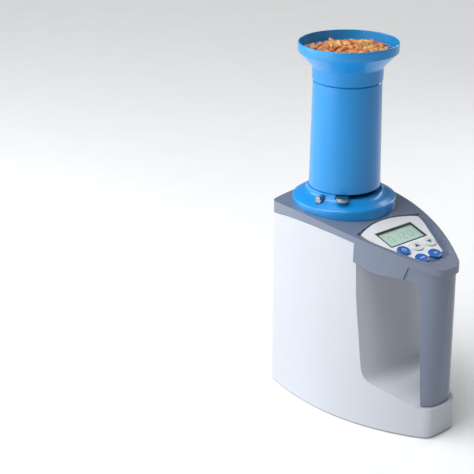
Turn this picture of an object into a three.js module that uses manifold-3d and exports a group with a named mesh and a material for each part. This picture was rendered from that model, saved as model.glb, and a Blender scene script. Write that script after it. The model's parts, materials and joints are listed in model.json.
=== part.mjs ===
// Grain moisture meter: a tall teardrop housing with a carrying handle at the front, a sloped
// display panel, a measuring chamber and a lift-off drop tube with a hopper and a rotary shutter.
// Millimetres, +Z up, front towards -Y. The drop tube's axis is x = 0, y = 0 until the last line.
import * as THREE from "three";
import { mergeVertices } from "three/addons/utils/BufferGeometryUtils.js";
import Module from "manifold-3d";

const wasm = await Module();
wasm.setup();

// Housing
const DECK_HEIGHT = 216.3; // deck above the table, at the rear
const BODY_HALF_WIDTH = 60.2; // at the rear corners of the deck
const BODY_REAR = 47.3; // y of the rear corners
const BODY_LENGTH = 201.4; // rear corners to the deck's front edge
const REAR_BULGE = 11.5; // how far the back wall bows out
const CORNER_CUT = 5;
const WALL = 2.6;
const GAP = 0.3; // between pieces that touch
const UNDERSIDE = 1.5; // lower edge of the housing above the table
const FOOT_TOP = 34.8; // top of the white toe in front of the handle
const COVER_FRONT_EDGE = -70.3; // where the deep part of the cover starts
const FRONT = BODY_REAR - BODY_LENGTH; // front edge of the deck
const OUTSIDE = BODY_HALF_WIDTH + 34.8; // clear of the body at both sides

// Base
const BASE_Z = 3;
const BASE_THICK = 2.4;
const CELL_RADIUS = 7.1;
const CELL_LENGTH = 50;
const CELL_PITCH = 2 * CELL_RADIUS + 0.5;
const CELL_COUNT = 4;
const DOOR_HALF = [CELL_LENGTH / 2 + 4, (CELL_COUNT * CELL_PITCH) / 2 + 1.6];
const DOOR_Y = -46;
const DOOR_TOP = BASE_Z + 2.2;
const CELL_Z = DOOR_TOP + 1.7 + CELL_RADIUS;
const TRAY_WALL = 2.4; // outside the door's outline
const TRAY_TOP = CELL_Z + CELL_RADIUS + 2.9;
const FOOT_RADIUS = 7;
const EDGE_INSET = 14.2; // of the rear feet and screws from the rear corners
const bothSides = ([x, y]) => [[-x, y], [x, y]];
const FEET = [[BODY_HALF_WIDTH - EDGE_INSET, BODY_REAR - 11.3], [15, FRONT + 18.1]].flatMap(bothSides);
const SCREWS = [[BODY_HALF_WIDTH - EDGE_INSET, BODY_REAR - 33.3], [30, FRONT + 50.1]].flatMap(bothSides);

// Measuring chamber
const CHAMBER_RADIUS = 35;
const CHAMBER_WALL = 1.8;
const CHAMBER_BOTTOM = 47.6;
const CHAMBER_TOP = DECK_HEIGHT - 10.4;
const COLLAR_RADIUS = CHAMBER_RADIUS + 3.2;
const COLLAR_RISE = 5.2; // above the deck
const BASE_DISC = 4; // thickness under the chamber
const BEAM_HEIGHT = 13;
const BEAM_Z = CHAMBER_BOTTOM - BASE_DISC - BEAM_HEIGHT - 2 * GAP;
const BEAM_FRONT = DOOR_Y + DOOR_HALF[1] + TRAY_WALL + GAP;
const BEAM_REAR = 46;

// Display panel, in its own tilted frame
const PANEL_TILT = 16; // degrees
const PANEL_DROP = 6.7; // origin of the panel below the rear deck
const OVERLAY_THICK = 1;
const POCKET_DEPTH = 1.3; // pocket floor below the overlay's face
const POCKET_FLOOR = 2.3;
const KEY_RADIUS = 7.05;
const KEY_RISE = 1.4;
const KEYS = [
  ["key_power", -18.4, -47.2, 0x0f57c4],
  ["key_up", 0, -47.2, 0xe6e9ea],
  ["key_down", 18.4, -47.2, 0xe6e9ea],
  ["key_select", -9.4, -64.7, 0x0f57c4],
  ["key_measure", 9.4, -64.7, 0x0f57c4],
];
const LCD_HALF_WIDTH = 25.9;
const LCD_REAR = -12;
const LCD_FRONT = -37.3;

// Drop tube, shutter and hopper
const FLANGE_RADIUS = 55;
const FLANGE_RIM = 6.7; // rim height above the deck
const TUBE_RADIUS = 38;
const TUBE_TOP_RADIUS = 35.7;
const TUBE_WALL = 2.4;
const NECK_RADIUS = TUBE_RADIUS + 1.4;
const SHUTTER_BORE = TUBE_RADIUS - TUBE_WALL - 1.4;
const SHUTTER_RADIUS = SHUTTER_BORE - 2.2;
const SHELF_RADIUS = SHUTTER_BORE - 3.2; // bore of the shelf under the grate
const WINDOW_RADII = [7, SHUTTER_RADIUS - 3.5];
const PIVOT_BORE = 2.5;
const GRATE_THICK = 2.9;
const SHUTTER_THICK = 2.7;
const LEVER_THICK = 4;
const SHELF_Z = DECK_HEIGHT + COLLAR_RISE + 2.3;
const GRATE_Z = SHELF_Z + GAP;
const SHUTTER_Z = GRATE_Z + GRATE_THICK + GAP;
const LEVER_Z = SHUTTER_Z + SHUTTER_THICK + GAP;
const NECK_TOP = LEVER_Z + LEVER_THICK + 0.2;
const TUBE_BOTTOM = NECK_TOP + GAP;
const PANEL_ORIGIN_Y = -FLANGE_RADIUS - 7; // the panel starts in front of the flange
const TUBE_LENGTH = 113.2;
const HOPPER_HEIGHT = 39.7;
const HOPPER_RADIUS = 51.6;
const HOPPER_RIM = 10.4;
const LEVER_ANGLE = -136;
const LEVER_WIDTH = 13;
const LEVER_REACH = 50;
const SHUTTER_TURN = 80; // degrees from shut to open
const BUTTON_ANGLE = -168;
const BUTTON_RADIUS = 3.8;
const BUTTON_REACH = 48;
const BUTTON_STROKE = 2;
const BUTTON_Z = GRATE_Z + 4.9;
const SLOT_ANGLES = [-147, -41];

// Round the hand opening, seen from the side: points [y, share of the deck height] on its rear wall,
// [share of the way forward, share of the height] along its floor and ceiling, and [distance from the
// front edge, share of the height] on the handle.
const OPENING_REAR = [
  [-72.5, 0.8391], [-76, 0.652], [-82, 0.451], [-85.7, 0.324], [-87.6, 0.283], [-91.2, 0.258],
];
const OPENING_FLOOR = [[0.152, 0.236], [0.424, 0.216], [0.684, 0.1905], [0.866, 0.177], [1, 0.1615]];
const OPENING_COLUMN = [[8.7, 0.236], [12.1, 0.467], [15.1, 0.721], [17.6, 0.772], [23.1, 0.8]];
const FLOOR_SHARES = [0.86, 0.45, 0.16, 0, 0]; // of the rear wall's bulge, kept along the floor
const CEILING = [
  [0.863, 0.8085], [0.692, 0.811], [0.436, 0.808], [0.248, 0.8155], [0.111, 0.8275], [0, 0.8395],
];
const OPENING_BULGE = 9; // front wall of the chamber housing, at the middle
const GRIP_BULGE = 9; // rear face of the handle, at the middle
const GRIP_HALF_WIDTH = 25;
const SKIRT = [
  [80, 0.936], [47, 0.938], [17, 0.952], [-12, 0.9565], [-40, 0.951], [-58, 0.9425],
  [COVER_FRONT_EDGE, 0.934],
];
const COLUMN_SEAM = [[28.4, 0.8705], [20.6, 0.8678], [8.7, 0.8525], [-1.9, 0.835], [-25.9, 0.81]];

const round = Math.PI / 180;
const lerp = (a, b, t) => a + (b - a) * t;
const turned = (degrees, radius) => [
  radius * Math.cos(degrees * round),
  radius * Math.sin(degrees * round),
];

// ---- solids ----

// A closed geometry as a solid that can be cut.
function solid(geometry) {
  const source = geometry.index ? geometry.toNonIndexed() : geometry;
  const bare = new THREE.BufferGeometry();
  bare.setAttribute("position", source.getAttribute("position"));
  const merged = mergeVertices(bare, 1e-4);
  const mesh = new wasm.Mesh({
    numProp: 3,
    vertProperties: merged.attributes.position.array,
    triVerts: new Uint32Array(merged.index.array),
  });
  return new wasm.Manifold(mesh);
}

// A cut solid as a geometry again.
function geometryOf(cut) {
  const mesh = cut.getMesh();
  const geometry = new THREE.BufferGeometry();
  geometry.setAttribute("position", new THREE.BufferAttribute(mesh.vertProperties, 3));
  geometry.setIndex(new THREE.BufferAttribute(mesh.triVerts, 1));
  const flat = geometry.toNonIndexed();
  flat.computeVertexNormals();
  return flat;
}

function box(low, high) {
  const size = high.map((value, i) => value - low[i]);
  const middle = high.map((value, i) => (value + low[i]) / 2);
  return new THREE.BoxGeometry(...size).translate(...middle);
}

// A cylinder standing on z = low, at x, y.
function cylinder(radius, low, high, x = 0, y = 0, segments = 32) {
  return new THREE.CylinderGeometry(radius, radius, high - low, segments)
    .rotateX(Math.PI / 2)
    .translate(x, y, (low + high) / 2);
}

// A cylinder along a level line that leaves the tube's axis at an angle.
function radialCylinder(radius, near, far, z, degrees) {
  return new THREE.CylinderGeometry(radius, radius, far - near, 24)
    .rotateZ(-Math.PI / 2)
    .translate((near + far) / 2, 0, 0)
    .rotateZ(degrees * round)
    .translate(0, 0, z);
}

// A turned part: profile points [radius, z], anticlockwise as seen with z up and radius right.
function turnedPart(profile, segments = 64) {
  const points = profile.map(([radius, z]) => new THREE.Vector2(radius, z));
  if (profile[0][0] > 0) points.push(points[0].clone());
  return new THREE.LatheGeometry(points, segments).rotateX(Math.PI / 2);
}

// A flat outline [x, y] given thickness from low to high.
function plate(outline, low, high) {
  const shape = new THREE.Shape(outline.map(([x, y]) => new THREE.Vector2(x, y)));
  const settings = { depth: high - low, bevelEnabled: false };
  return new THREE.ExtrudeGeometry(shape, settings).translate(0, 0, low);
}

// A ring sector between two radii and two angles.
function sector(inner, outer, from, to, low, high) {
  const steps = 16;
  const outline = [];
  for (let i = 0; i <= steps; i++) outline.push(turned(lerp(from, to, i / steps), outer));
  for (let i = steps; i >= 0; i--) outline.push(turned(lerp(from, to, i / steps), inner));
  return plate(outline, low, high);
}

// A prism along X whose outline [y, z] may change with x. The outline runs anticlockwise.
function sidePrism(outlineAt, stations = [-OUTSIDE, OUTSIDE]) {
  const rings = stations.map(outlineAt);
  const count = rings[0].length;
  const positions = rings.flatMap((ring, k) => ring.flatMap(([y, z]) => [stations[k], y, z]));
  const index = [];
  for (let k = 0; k + 1 < rings.length; k++)
    for (let i = 0; i < count; i++) {
      const a = k * count + i;
      const b = k * count + ((i + 1) % count);
      index.push(a, b, b + count, a, b + count, a + count);
    }
  const cap = (ring) =>
    THREE.ShapeUtils.triangulateShape(ring.map(([y, z]) => new THREE.Vector2(y, z)), []);
  cap(rings[0]).forEach(([a, b, c]) => index.push(a, c, b));
  const last = (rings.length - 1) * count;
  cap(rings[rings.length - 1]).forEach(([a, b, c]) => index.push(last + a, last + b, last + c));
  const geometry = new THREE.BufferGeometry();
  geometry.setAttribute("position", new THREE.Float32BufferAttribute(positions, 3));
  geometry.setIndex(index);
  return solid(geometry);
}

// ---- the housing's shape ----

function deckHeight(y) {
  const t = (BODY_REAR - y) / BODY_LENGTH;
  const u = Math.max(0, t - 0.149);
  return DECK_HEIGHT * (1 - 0.2016 * u * u + 0.0388 * u * u * u);
}

const atHeight = (points, lift = 0) => points.map(([y, share]) => [y, share * DECK_HEIGHT + lift]);
const fromFront = (points) => points.map(([distance, share]) => [FRONT + distance, share]);
const spanned = (points, rear, front) => points.map(([t, share]) => [lerp(rear, front, t), share]);
const ceiling = spanned(CEILING, OPENING_REAR[0][0], FRONT + OPENING_COLUMN.at(-1)[0]);
const openingFloor = spanned(OPENING_FLOOR, OPENING_REAR.at(-1)[0], FRONT + 9.1);
const columnSeam = fromFront(COLUMN_SEAM);
const bulgeSpan = BODY_HALF_WIDTH - 4.2; // half width over which the opening's rear wall bows
const bulgeAt = (x) => OPENING_BULGE * Math.max(0, 1 - (x / bulgeSpan) ** 2);
const gripAt = (x) => GRIP_BULGE * Math.max(0, 1 - (x / GRIP_HALF_WIDTH) ** 2);

// Stations across the opening, with one beyond each side of the body.
function stationsAcross(count) {
  const inner = Array.from({ length: count + 1 }, (_, i) => lerp(-bulgeSpan, bulgeSpan, i / count));
  return [-OUTSIDE, ...inner, OUTSIDE];
}

// Right half of the plan outline; level is 0 at the table and 1 at the deck.
function halfOutline(level) {
  const rear = lerp(1.016, 1, level) * BODY_HALF_WIDTH;
  const front = lerp(0.326, 0.2324, level) * BODY_HALF_WIDTH;
  const swell = lerp(0.3928, 0.3027, level) * BODY_HALF_WIDTH;
  const lean = lerp(-0.0315, -0.0333, level) * BODY_HALF_WIDTH;
  const rearY = BODY_REAR + lerp(0.9, 0, level);
  const frontY = BODY_REAR - BODY_LENGTH - lerp(0.5, 0, level);
  const side = (t) => {
    const x = lerp(rear, front, t) + 4 * swell * t * (1 - t) + 8 * lean * t * (1 - t) * (1 - 2 * t);
    return [x, lerp(rearY, frontY, t)];
  };
  const back = (x) => [x, rearY + REAR_BULGE * (1 - Math.pow(x / rear, 1.6))];
  const bend = (a, b, c) =>
    [0.25, 0.5, 0.75].map((t) => a.map((v, i) => lerp(lerp(v, b[i], t), lerp(b[i], c[i], t), t)));
  const cut = CORNER_CUT / BODY_LENGTH;
  const points = [];
  for (let i = 0; i <= 7; i++) points.push(back(((rear - CORNER_CUT) * i) / 7));
  points.push(...bend(back(rear - CORNER_CUT), [rear, rearY], side(cut)));
  for (let i = 0; i <= 16; i++) points.push(side(lerp(cut, 1 - cut, i / 16)));
  points.push(...bend(side(1 - cut), [front, frontY], [front - 5, frontY - 0.9]));
  points.push([front - 5, frontY - 0.9], [0, frontY - 1.4]);
  return points;
}

// The whole plan outline, clockwise from the middle of the back, moved inwards by inset.
function planOutline(level, inset) {
  const right = halfOutline(level);
  const left = right.slice(1, -1).reverse().map(([x, y]) => [-x, y]);
  const ring = [...right, ...left];
  const count = ring.length;
  return ring.map(([x, y], i) => {
    const before = ring[(i + count - 1) % count];
    const after = ring[(i + 1) % count];
    const along = [after[0] - before[0], after[1] - before[1]];
    const length = Math.hypot(...along);
    return [x + (along[1] / length) * inset, y - (along[0] / length) * inset];
  });
}

// The body's outer form, or a smaller one inside it, taller than the deck at both ends.
function bodyForm(insetLow, insetHigh = insetLow) {
  const rings = [[-0.06, insetLow], [1.12, insetHigh]].map(([level, inset]) =>
    planOutline(level, inset).map(([x, y]) => [x, y, level * deckHeight(y)]),
  );
  const count = rings[0].length;
  const index = [];
  for (let i = 0; i < count; i++) {
    const j = (i + 1) % count;
    index.push(i, count + j, j, i, count + i, count + j);
  }
  const half = count / 2;
  for (const [start, turn] of [[0, false], [count, true]]) {
    const add = (a, b, c) => index.push(start + a, start + (turn ? b : c), start + (turn ? c : b));
    add(0, count - 1, 1);
    for (let i = 1; i < half - 1; i++) {
      add(i, count - i, count - i - 1);
      add(i, count - i - 1, i + 1);
    }
    add(half - 1, half + 1, half);
  }
  const geometry = new THREE.BufferGeometry();
  geometry.setAttribute("position", new THREE.Float32BufferAttribute(rings.flat(2), 3));
  geometry.setIndex(index);
  return solid(geometry);
}

// Everything below the deck's curve, lowered by drop.
function underDeck(drop) {
  const [rear, front] = [BODY_REAR + 42.7, FRONT - 25.9];
  const outline = [[front, -30], [rear, -30]];
  for (let i = 0; i <= 27; i++) {
    const y = lerp(rear, front, i / 27);
    outline.push([y, deckHeight(y) - drop]);
  }
  return sidePrism(() => outline);
}

// The hand opening between the chamber housing and the handle.
function handOpening() {
  return sidePrism((x) => {
    const back = atHeight(OPENING_REAR).map(([y, z]) => [y - bulgeAt(x), z]);
    const column = atHeight(fromFront(OPENING_COLUMN)).map(([y, z]) => [y + gripAt(x), z]);
    const floor = atHeight(openingFloor).map(([y, z], i) => [y - bulgeAt(x) * FLOOR_SHARES[i], z]);
    const front = [...floor, ...column, ...atHeight(ceiling).slice(0, -1)];
    return [...back, ...front].reverse();
  }, stationsAcross(28));
}

// ---- panel frame ----

const panelMatrix = new THREE.Matrix4()
  .makeTranslation(0, PANEL_ORIGIN_Y, DECK_HEIGHT - PANEL_DROP)
  .multiply(new THREE.Matrix4().makeRotationX(PANEL_TILT * round));
const onPanel = (geometry) => geometry.applyMatrix4(panelMatrix);

const mirrored = (points) => [...points, ...points.slice().reverse().map(([x, y]) => [-x, y])];

// Right-hand outlines on the panel, from the middle of the rear edge to the front.
const OVERLAY_OUTLINE = mirrored([
  [0.6, 3.4], [14, 2.2], [27, -1.2], [36, -4.6], [40.2, -7], [41.1, -9], [39.2, -18.6],
  [33.8, -32.2], [29.4, -43.6], [24.2, -55.6], [21, -65],
]).reverse();
const POCKET_OUTLINE = mirrored([
  [0.6, 5], [14, 3.8], [28, 0.3], [38, -3.2], [45.6, -6], [45.8, -14], [41.6, -28], [34.8, -44],
  [28.2, -58], [22.4, -69], [18.6, -74.5], [12.5, -78.5], [5, -80.4],
]).reverse();

// An outline grown outwards by a margin.
function grown(outline, margin) {
  const count = outline.length;
  return outline.map(([x, y], i) => {
    const before = outline[(i + count - 1) % count];
    const after = outline[(i + 1) % count];
    const along = [after[0] - before[0], after[1] - before[1]];
    const length = Math.hypot(...along);
    return [x + (along[1] / length) * margin, y - (along[0] / length) * margin];
  });
}

// ---- colours ----

function plastic(colour, roughness = 0.4) {
  return new THREE.MeshStandardMaterial({ color: colour, roughness, metalness: 0 });
}

function metal(colour, roughness = 0.25) {
  return new THREE.MeshStandardMaterial({ color: colour, roughness, metalness: 1 });
}

function part(group, name, shape, material) {
  const geometry = shape.getMesh ? geometryOf(shape) : shape;
  const mesh = new THREE.Mesh(geometry, material);
  mesh.name = name;
  group.add(mesh);
  return mesh;
}

// ---- sub-assemblies ----

// Where the white toe ends and the handle column starts, as seen from the side.
const toeSeam = [
  [FRONT + 28.1, 0.277 * DECK_HEIGHT], [FRONT + 16.1, FOOT_TOP + 4.4], [FRONT + 9.3, FOOT_TOP],
  [FRONT - 25.9, FOOT_TOP - 1.6],
];

function lowerHousing() {
  const region = sidePrism(() => [
    [FRONT - 25.9, UNDERSIDE], [BODY_REAR + 42.7, UNDERSIDE], ...atHeight(SKIRT),
    [COVER_FRONT_EDGE, 0.8405 * DECK_HEIGHT], ...atHeight(ceiling, -GAP).reverse().slice(0, 3),
    [FRONT + 50.1, 0.6 * DECK_HEIGHT], ...toeSeam,
  ]);
  const shell = bodyForm(0).intersect(region).subtract(handOpening());
  const hollow = sidePrism((x) => {
    const back = atHeight(OPENING_REAR).map(([y, z]) => [y - bulgeAt(x) + WALL + 0.4, z - 2.4]);
    const floor = atHeight(openingFloor, -WALL - 0.5).slice(1, 4);
    return [
      [FRONT + 5.1, -5], [BODY_REAR + 32.7, -5], [BODY_REAR + 32.7, DECK_HEIGHT], [-66, DECK_HEIGHT],
      [-69, 0.8395 * DECK_HEIGHT], ...back.slice(0, 4), [-88, 0.225 * DECK_HEIGHT], ...floor,
      [FRONT + 5.1, FOOT_TOP - 6],
    ];
  }, stationsAcross(14));
  return shell.subtract(bodyForm(WALL).intersect(hollow));
}

function trayForm(margin, low, high) {
  return solid(onPanel(plate(grown(POCKET_OUTLINE, margin), low, high)));
}

function topCover() {
  const region = sidePrism(() => [
    ...atHeight(SKIRT, GAP).reverse().map(([y, z]) => (y > COVER_FRONT_EDGE ? [y, z] : [y - GAP, z])),
    [BODY_REAR + 42.7, 0.936 * DECK_HEIGHT], [BODY_REAR + 42.7, 1.4 * DECK_HEIGHT],
    [FRONT - 25.9, 1.4 * DECK_HEIGHT], ...atHeight(columnSeam, GAP).reverse(), ...atHeight(ceiling),
    [COVER_FRONT_EDGE - GAP, 0.842 * DECK_HEIGHT],
  ]);
  const whole = bodyForm(0).intersect(underDeck(0));
  const outer = whole.intersect(region);
  const hollow = sidePrism(() => [
    [FRONT - 5.9, 0.7 * DECK_HEIGHT], [FRONT + 24.1, 0.7 * DECK_HEIGHT],
    [FRONT + 24.1, 0.8195 * DECK_HEIGHT], ...atHeight(ceiling, 2.4).slice(0, 5),
    [COVER_FRONT_EDGE - GAP, 0.8525 * DECK_HEIGHT], [COVER_FRONT_EDGE + WALL, 0.8525 * DECK_HEIGHT],
    [COVER_FRONT_EDGE + WALL, 0.7 * DECK_HEIGHT], [BODY_REAR + 42.7, 0.7 * DECK_HEIGHT],
    [BODY_REAR + 42.7, 1.4 * DECK_HEIGHT], [FRONT - 5.9, 1.4 * DECK_HEIGHT],
  ]);
  const inside = bodyForm(WALL).intersect(underDeck(WALL)).intersect(hollow);
  const floorLow = -POCKET_DEPTH - POCKET_FLOOR;
  const tray = trayForm(WALL - 0.2, floorLow, 30).intersect(whole); // reaches into the handle's top
  let cover = outer.subtract(inside).add(tray).subtract(trayForm(0, -POCKET_DEPTH, 40));
  const lcd = box(
    [-LCD_HALF_WIDTH - 1.2, LCD_FRONT - 1.2, floorLow - 2],
    [LCD_HALF_WIDTH + 1.2, LCD_REAR + 1.2, 2],
  );
  cover = cover.subtract(solid(onPanel(lcd)));
  for (const [, x, y] of KEYS)
    cover = cover.subtract(solid(onPanel(cylinder(KEY_RADIUS + GAP, floorLow - 2, 2, x, y))));
  const mouth = cylinder(COLLAR_RADIUS + GAP, CHAMBER_TOP - 20, DECK_HEIGHT + 20, 0, 0, 64);
  return cover.subtract(solid(mouth));
}

function handleColumn() {
  const [ahead, above] = [FRONT - 10.9, 1.2 * DECK_HEIGHT];
  const foot = toeSeam.map(([y, z]) => [y, Math.max(z, FOOT_TOP) + GAP]).reverse();
  const corner = [ceiling[0][0] - GAP, ceiling[0][1] * DECK_HEIGHT]; // in front of the cover's end
  const region = sidePrism(() => [...foot, corner, ...atHeight(columnSeam)]);
  const core = sidePrism((x) => {
    const grip = atHeight(fromFront(OPENING_COLUMN)).slice(0, 3);
    const back = grip.map(([y, z]) => [y + gripAt(x) - WALL - 0.4, z]);
    return [[ahead, 50], [back[0][0], 50], ...back, [back[2][0], above], [ahead, above]];
  }, stationsAcross(28));
  const topLow = 0.823 * DECK_HEIGHT;
  const behind = FRONT + 44.1;
  const top = sidePrism(() => [[ahead, topLow], [behind, topLow], [behind, above], [ahead, above]]);
  const inner = bodyForm(6, 4);
  return bodyForm(3.2, 1)
    .intersect(region)
    .subtract(handOpening())
    .subtract(inner.intersect(core))
    .subtract(inner.intersect(top))
    .subtract(trayForm(WALL + 0.2, -POCKET_DEPTH - POCKET_FLOOR - GAP, 40));
}

function basePlate() {
  const slab = solid(
    box([-OUTSIDE, FRONT + 5.1, BASE_Z], [OUTSIDE, BODY_REAR + 32.7, BASE_Z + BASE_THICK]),
  );
  let base = bodyForm(WALL + GAP).intersect(slab);
  const [dx, dy] = DOOR_HALF.map((value) => value + GAP);
  base = base.subtract(solid(box([-dx, DOOR_Y - dy, 0], [dx, DOOR_Y + dy, 10])));
  for (const [x, y] of SCREWS) base = base.subtract(solid(cylinder(1.9, 0, 10, x, y, 20)));
  return base;
}

function batteryParts(group) {
  const black = plastic(0x25282b, 0.55);
  const [dx, dy] = DOOR_HALF;
  const door = box([-dx, DOOR_Y - dy, BASE_Z], [dx, DOOR_Y + dy, DOOR_TOP]);
  part(group, "battery_door", door, plastic(0xdfe2e6));
  const low = BASE_Z + BASE_THICK + GAP;
  const wall = [dx + TRAY_WALL, dy + TRAY_WALL];
  const shell = solid(box([-wall[0], DOOR_Y - wall[1], low], [wall[0], DOOR_Y + wall[1], TRAY_TOP]));
  const room = solid(box([-dx + 1, DOOR_Y - dy + 1, 0], [dx - 1, DOOR_Y + dy - 1, TRAY_TOP - 1.8]));
  part(group, "battery_tray", shell.subtract(room), black);
  const half = CELL_LENGTH / 2;
  for (let i = 0; i < CELL_COUNT; i++) {
    const y = DOOR_Y + (i - (CELL_COUNT - 1) / 2) * CELL_PITCH;
    const profile = [
      [0, -half], [CELL_RADIUS, -half], [CELL_RADIUS, half - 2], [2.7, half - 1.6], [2.7, half],
      [0, half],
    ];
    const cell = turnedPart(profile, 24)
      .rotateY(((i % 2 ? -1 : 1) * Math.PI) / 2)
      .translate(0, y, CELL_Z);
    part(group, "battery_cell_" + (i + 1), cell, metal(0xb98a4a, 0.4));
  }
}

function baseParts(group) {
  part(group, "base_plate", basePlate(), plastic(0xc9ced3, 0.5));
  FEET.forEach(([x, y], i) => {
    const r = FOOT_RADIUS;
    const profile = [[0, 0], [r - 1, 0], [r, 0.8], [r, BASE_Z - GAP], [0, BASE_Z - GAP]];
    part(group, "foot_" + (i + 1), turnedPart(profile, 24).translate(x, y, 0), plastic(0x2a2c2e, 0.85));
  });
  SCREWS.forEach(([x, y], i) => {
    const profile = [[0, 1.5], [2.6, 1.5], [3.2, 2.1], [3.2, 2.8], [1.5, 2.8], [1.5, 11], [0, 12.2]];
    part(group, "base_screw_" + (i + 1), turnedPart(profile, 16).translate(x, y, 0), metal(0xa9adb0));
  });
}

function chamberParts(group) {
  const steel = metal(0xc3c7c9, 0.3);
  const bracketLow = BASE_Z + BASE_THICK + GAP;
  const bracket = solid(box([-9, BEAM_REAR - 18, bracketLow], [9, BEAM_REAR, BEAM_Z - GAP]));
  part(group, "load_cell_bracket", bracket, metal(0x8d9296, 0.45));
  const middle = BEAM_Z + BEAM_HEIGHT / 2;
  let beam = solid(box([-6.5, BEAM_FRONT, BEAM_Z], [6.5, BEAM_REAR, BEAM_Z + BEAM_HEIGHT]));
  for (const y of [8, 20]) {
    const relief = cylinder(4.2, -10, 10, 0, 0, 24).rotateY(Math.PI / 2).translate(0, y, middle);
    beam = beam.subtract(solid(relief));
  }
  beam = beam.subtract(solid(box([-10, 8, middle - 1], [10, 20, middle + 1])));
  part(group, "load_cell_beam", beam, metal(0xb9bec2, 0.35));
  const seat = BEAM_Z + BEAM_HEIGHT + GAP;
  const r = CHAMBER_RADIUS;
  const disc = [[0, seat], [r + 1, seat], [r + 1, seat + BASE_DISC], [0, seat + BASE_DISC]];
  part(group, "chamber_base", turnedPart(disc, 48), plastic(0xe9e6da, 0.5));
  const top = CHAMBER_TOP;
  const wall = [[r - CHAMBER_WALL, CHAMBER_BOTTOM], [r, CHAMBER_BOTTOM], [r, top], [r - CHAMBER_WALL, top]];
  part(group, "outer_electrode", turnedPart(wall, 48), steel);
  const tip = CHAMBER_TOP - 42.9;
  const rod = [
    [0, CHAMBER_BOTTOM], [9, CHAMBER_BOTTOM], [9, tip - 13], [7.4, tip - 7], [4, tip - 2], [0, tip],
  ];
  part(group, "inner_electrode", turnedPart(rod, 32), steel);
  const probe = [0, 2, 2, 0].map((radius, i) => [radius, CHAMBER_BOTTOM + [0, 0, 14.4, 16.4][i]]);
  part(group, "temperature_probe", turnedPart(probe, 16).translate(0, 22, 0), steel);
  const mouth = [
    [r - 1.6, top + GAP], [COLLAR_RADIUS, top + GAP], [COLLAR_RADIUS, DECK_HEIGHT + COLLAR_RISE],
    [COLLAR_RADIUS - 1.8, DECK_HEIGHT + COLLAR_RISE],
  ];
  part(group, "chamber_collar", turnedPart(mouth, 64), plastic(0x3a4149, 0.5));
}

function electronics(group) {
  const board = plastic(0x1f6b45, 0.5);
  part(group, "main_board", box([-32, -52, TRAY_TOP + GAP], [32, -50.4, TRAY_TOP + 104]), board);
  const floorLow = -POCKET_DEPTH - POCKET_FLOOR;
  const keyBoard = plate([[-29, -42], [-19, -71], [19, -71], [29, -42]], floorLow - 5, floorLow - 3.4);
  part(group, "key_board", onPanel(keyBoard), board);
  const lcd = [LCD_HALF_WIDTH, LCD_FRONT, LCD_REAR];
  const module = box([-lcd[0] - 0.8, lcd[1] - 0.8, -7], [lcd[0] + 0.8, lcd[2] + 0.8, -2.2]);
  part(group, "lcd_module", onPanel(module), plastic(0xa9c9b8, 0.3));
  const frame = solid(box([-lcd[0], lcd[1], -1.9], [lcd[0], lcd[2], -0.2]));
  const hole = solid(box([-lcd[0] + 1.6, lcd[1] + 1.6, -5], [lcd[0] - 1.6, lcd[2] - 1.6, 2]));
  const window = box([-lcd[0] + 1.9, lcd[1] + 1.9, -1.7], [lcd[0] - 1.9, lcd[2] - 1.9, -0.7]);
  part(group, "lcd_bezel", onPanel(geometryOf(frame.subtract(hole))), plastic(0x2c3733, 0.4));
  const glass = new THREE.MeshStandardMaterial({
    color: 0xb7d4c6, roughness: 0.08, metalness: 0, transparent: true, opacity: 0.4,
  });
  part(group, "lcd_window", onPanel(window), glass);
}

function displayOverlay() {
  let overlay = solid(plate(OVERLAY_OUTLINE, -OVERLAY_THICK, 0));
  overlay = overlay.subtract(
    solid(box([-LCD_HALF_WIDTH - GAP, LCD_FRONT - GAP, -5], [LCD_HALF_WIDTH + GAP, LCD_REAR + GAP, 5])),
  );
  for (const [, x, y] of KEYS)
    overlay = overlay.subtract(solid(cylinder(KEY_RADIUS + GAP, -5, 5, x, y)));
  return onPanel(geometryOf(overlay));
}

// A key cap with its stem, free to be pressed square to the panel.
function keyCap(x, y) {
  const low = -POCKET_DEPTH - POCKET_FLOOR - 2.2;
  const profile = [
    [0, low], [2.4, low], [2.4, -3], [KEY_RADIUS, -3], [KEY_RADIUS, KEY_RISE - 0.6],
    [KEY_RADIUS - 0.7, KEY_RISE], [0, KEY_RISE + 0.3],
  ];
  return onPanel(turnedPart(profile, 32).translate(x, y, 0));
}

function flangeRing() {
  const deck = DECK_HEIGHT;
  const rim = deck + FLANGE_RIM;
  const skirtBore = COLLAR_RADIUS + 2.8;
  const roof = deck + COLLAR_RISE + 0.4;
  const profile = [
    [FLANGE_RADIUS, deck - 14], [FLANGE_RADIUS, rim - 1.4], [FLANGE_RADIUS - 0.6, rim - 0.2],
    [FLANGE_RADIUS - 2, rim + 0.6], [lerp(FLANGE_RADIUS - 2, NECK_RADIUS + 3.6, 0.5), rim + 3.2],
    [NECK_RADIUS + 3.6, NECK_TOP - 6.6], [NECK_RADIUS + 0.8, NECK_TOP - 4.4],
    [NECK_RADIUS, NECK_TOP - 2.4], [NECK_RADIUS, NECK_TOP], [SHUTTER_BORE, NECK_TOP],
    [SHUTTER_BORE, SHELF_Z], [SHELF_RADIUS, SHELF_Z], [SHELF_RADIUS, roof], [skirtBore, roof],
    [skirtBore, deck - 14],
  ];
  const beyond = FLANGE_RADIUS + 5;
  const slot = sector(SHELF_RADIUS - 1, beyond, ...SLOT_ANGLES, LEVER_Z - GAP, NECK_TOP + 10);
  const holeRadius = BUTTON_RADIUS + GAP;
  const hole = radialCylinder(holeRadius, SHUTTER_BORE - 1.2, beyond, BUTTON_Z, BUTTON_ANGLE);
  return solid(turnedPart(profile, 96))
    .subtract(underDeck(-GAP))
    .subtract(solid(slot))
    .subtract(solid(hole));
}

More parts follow.
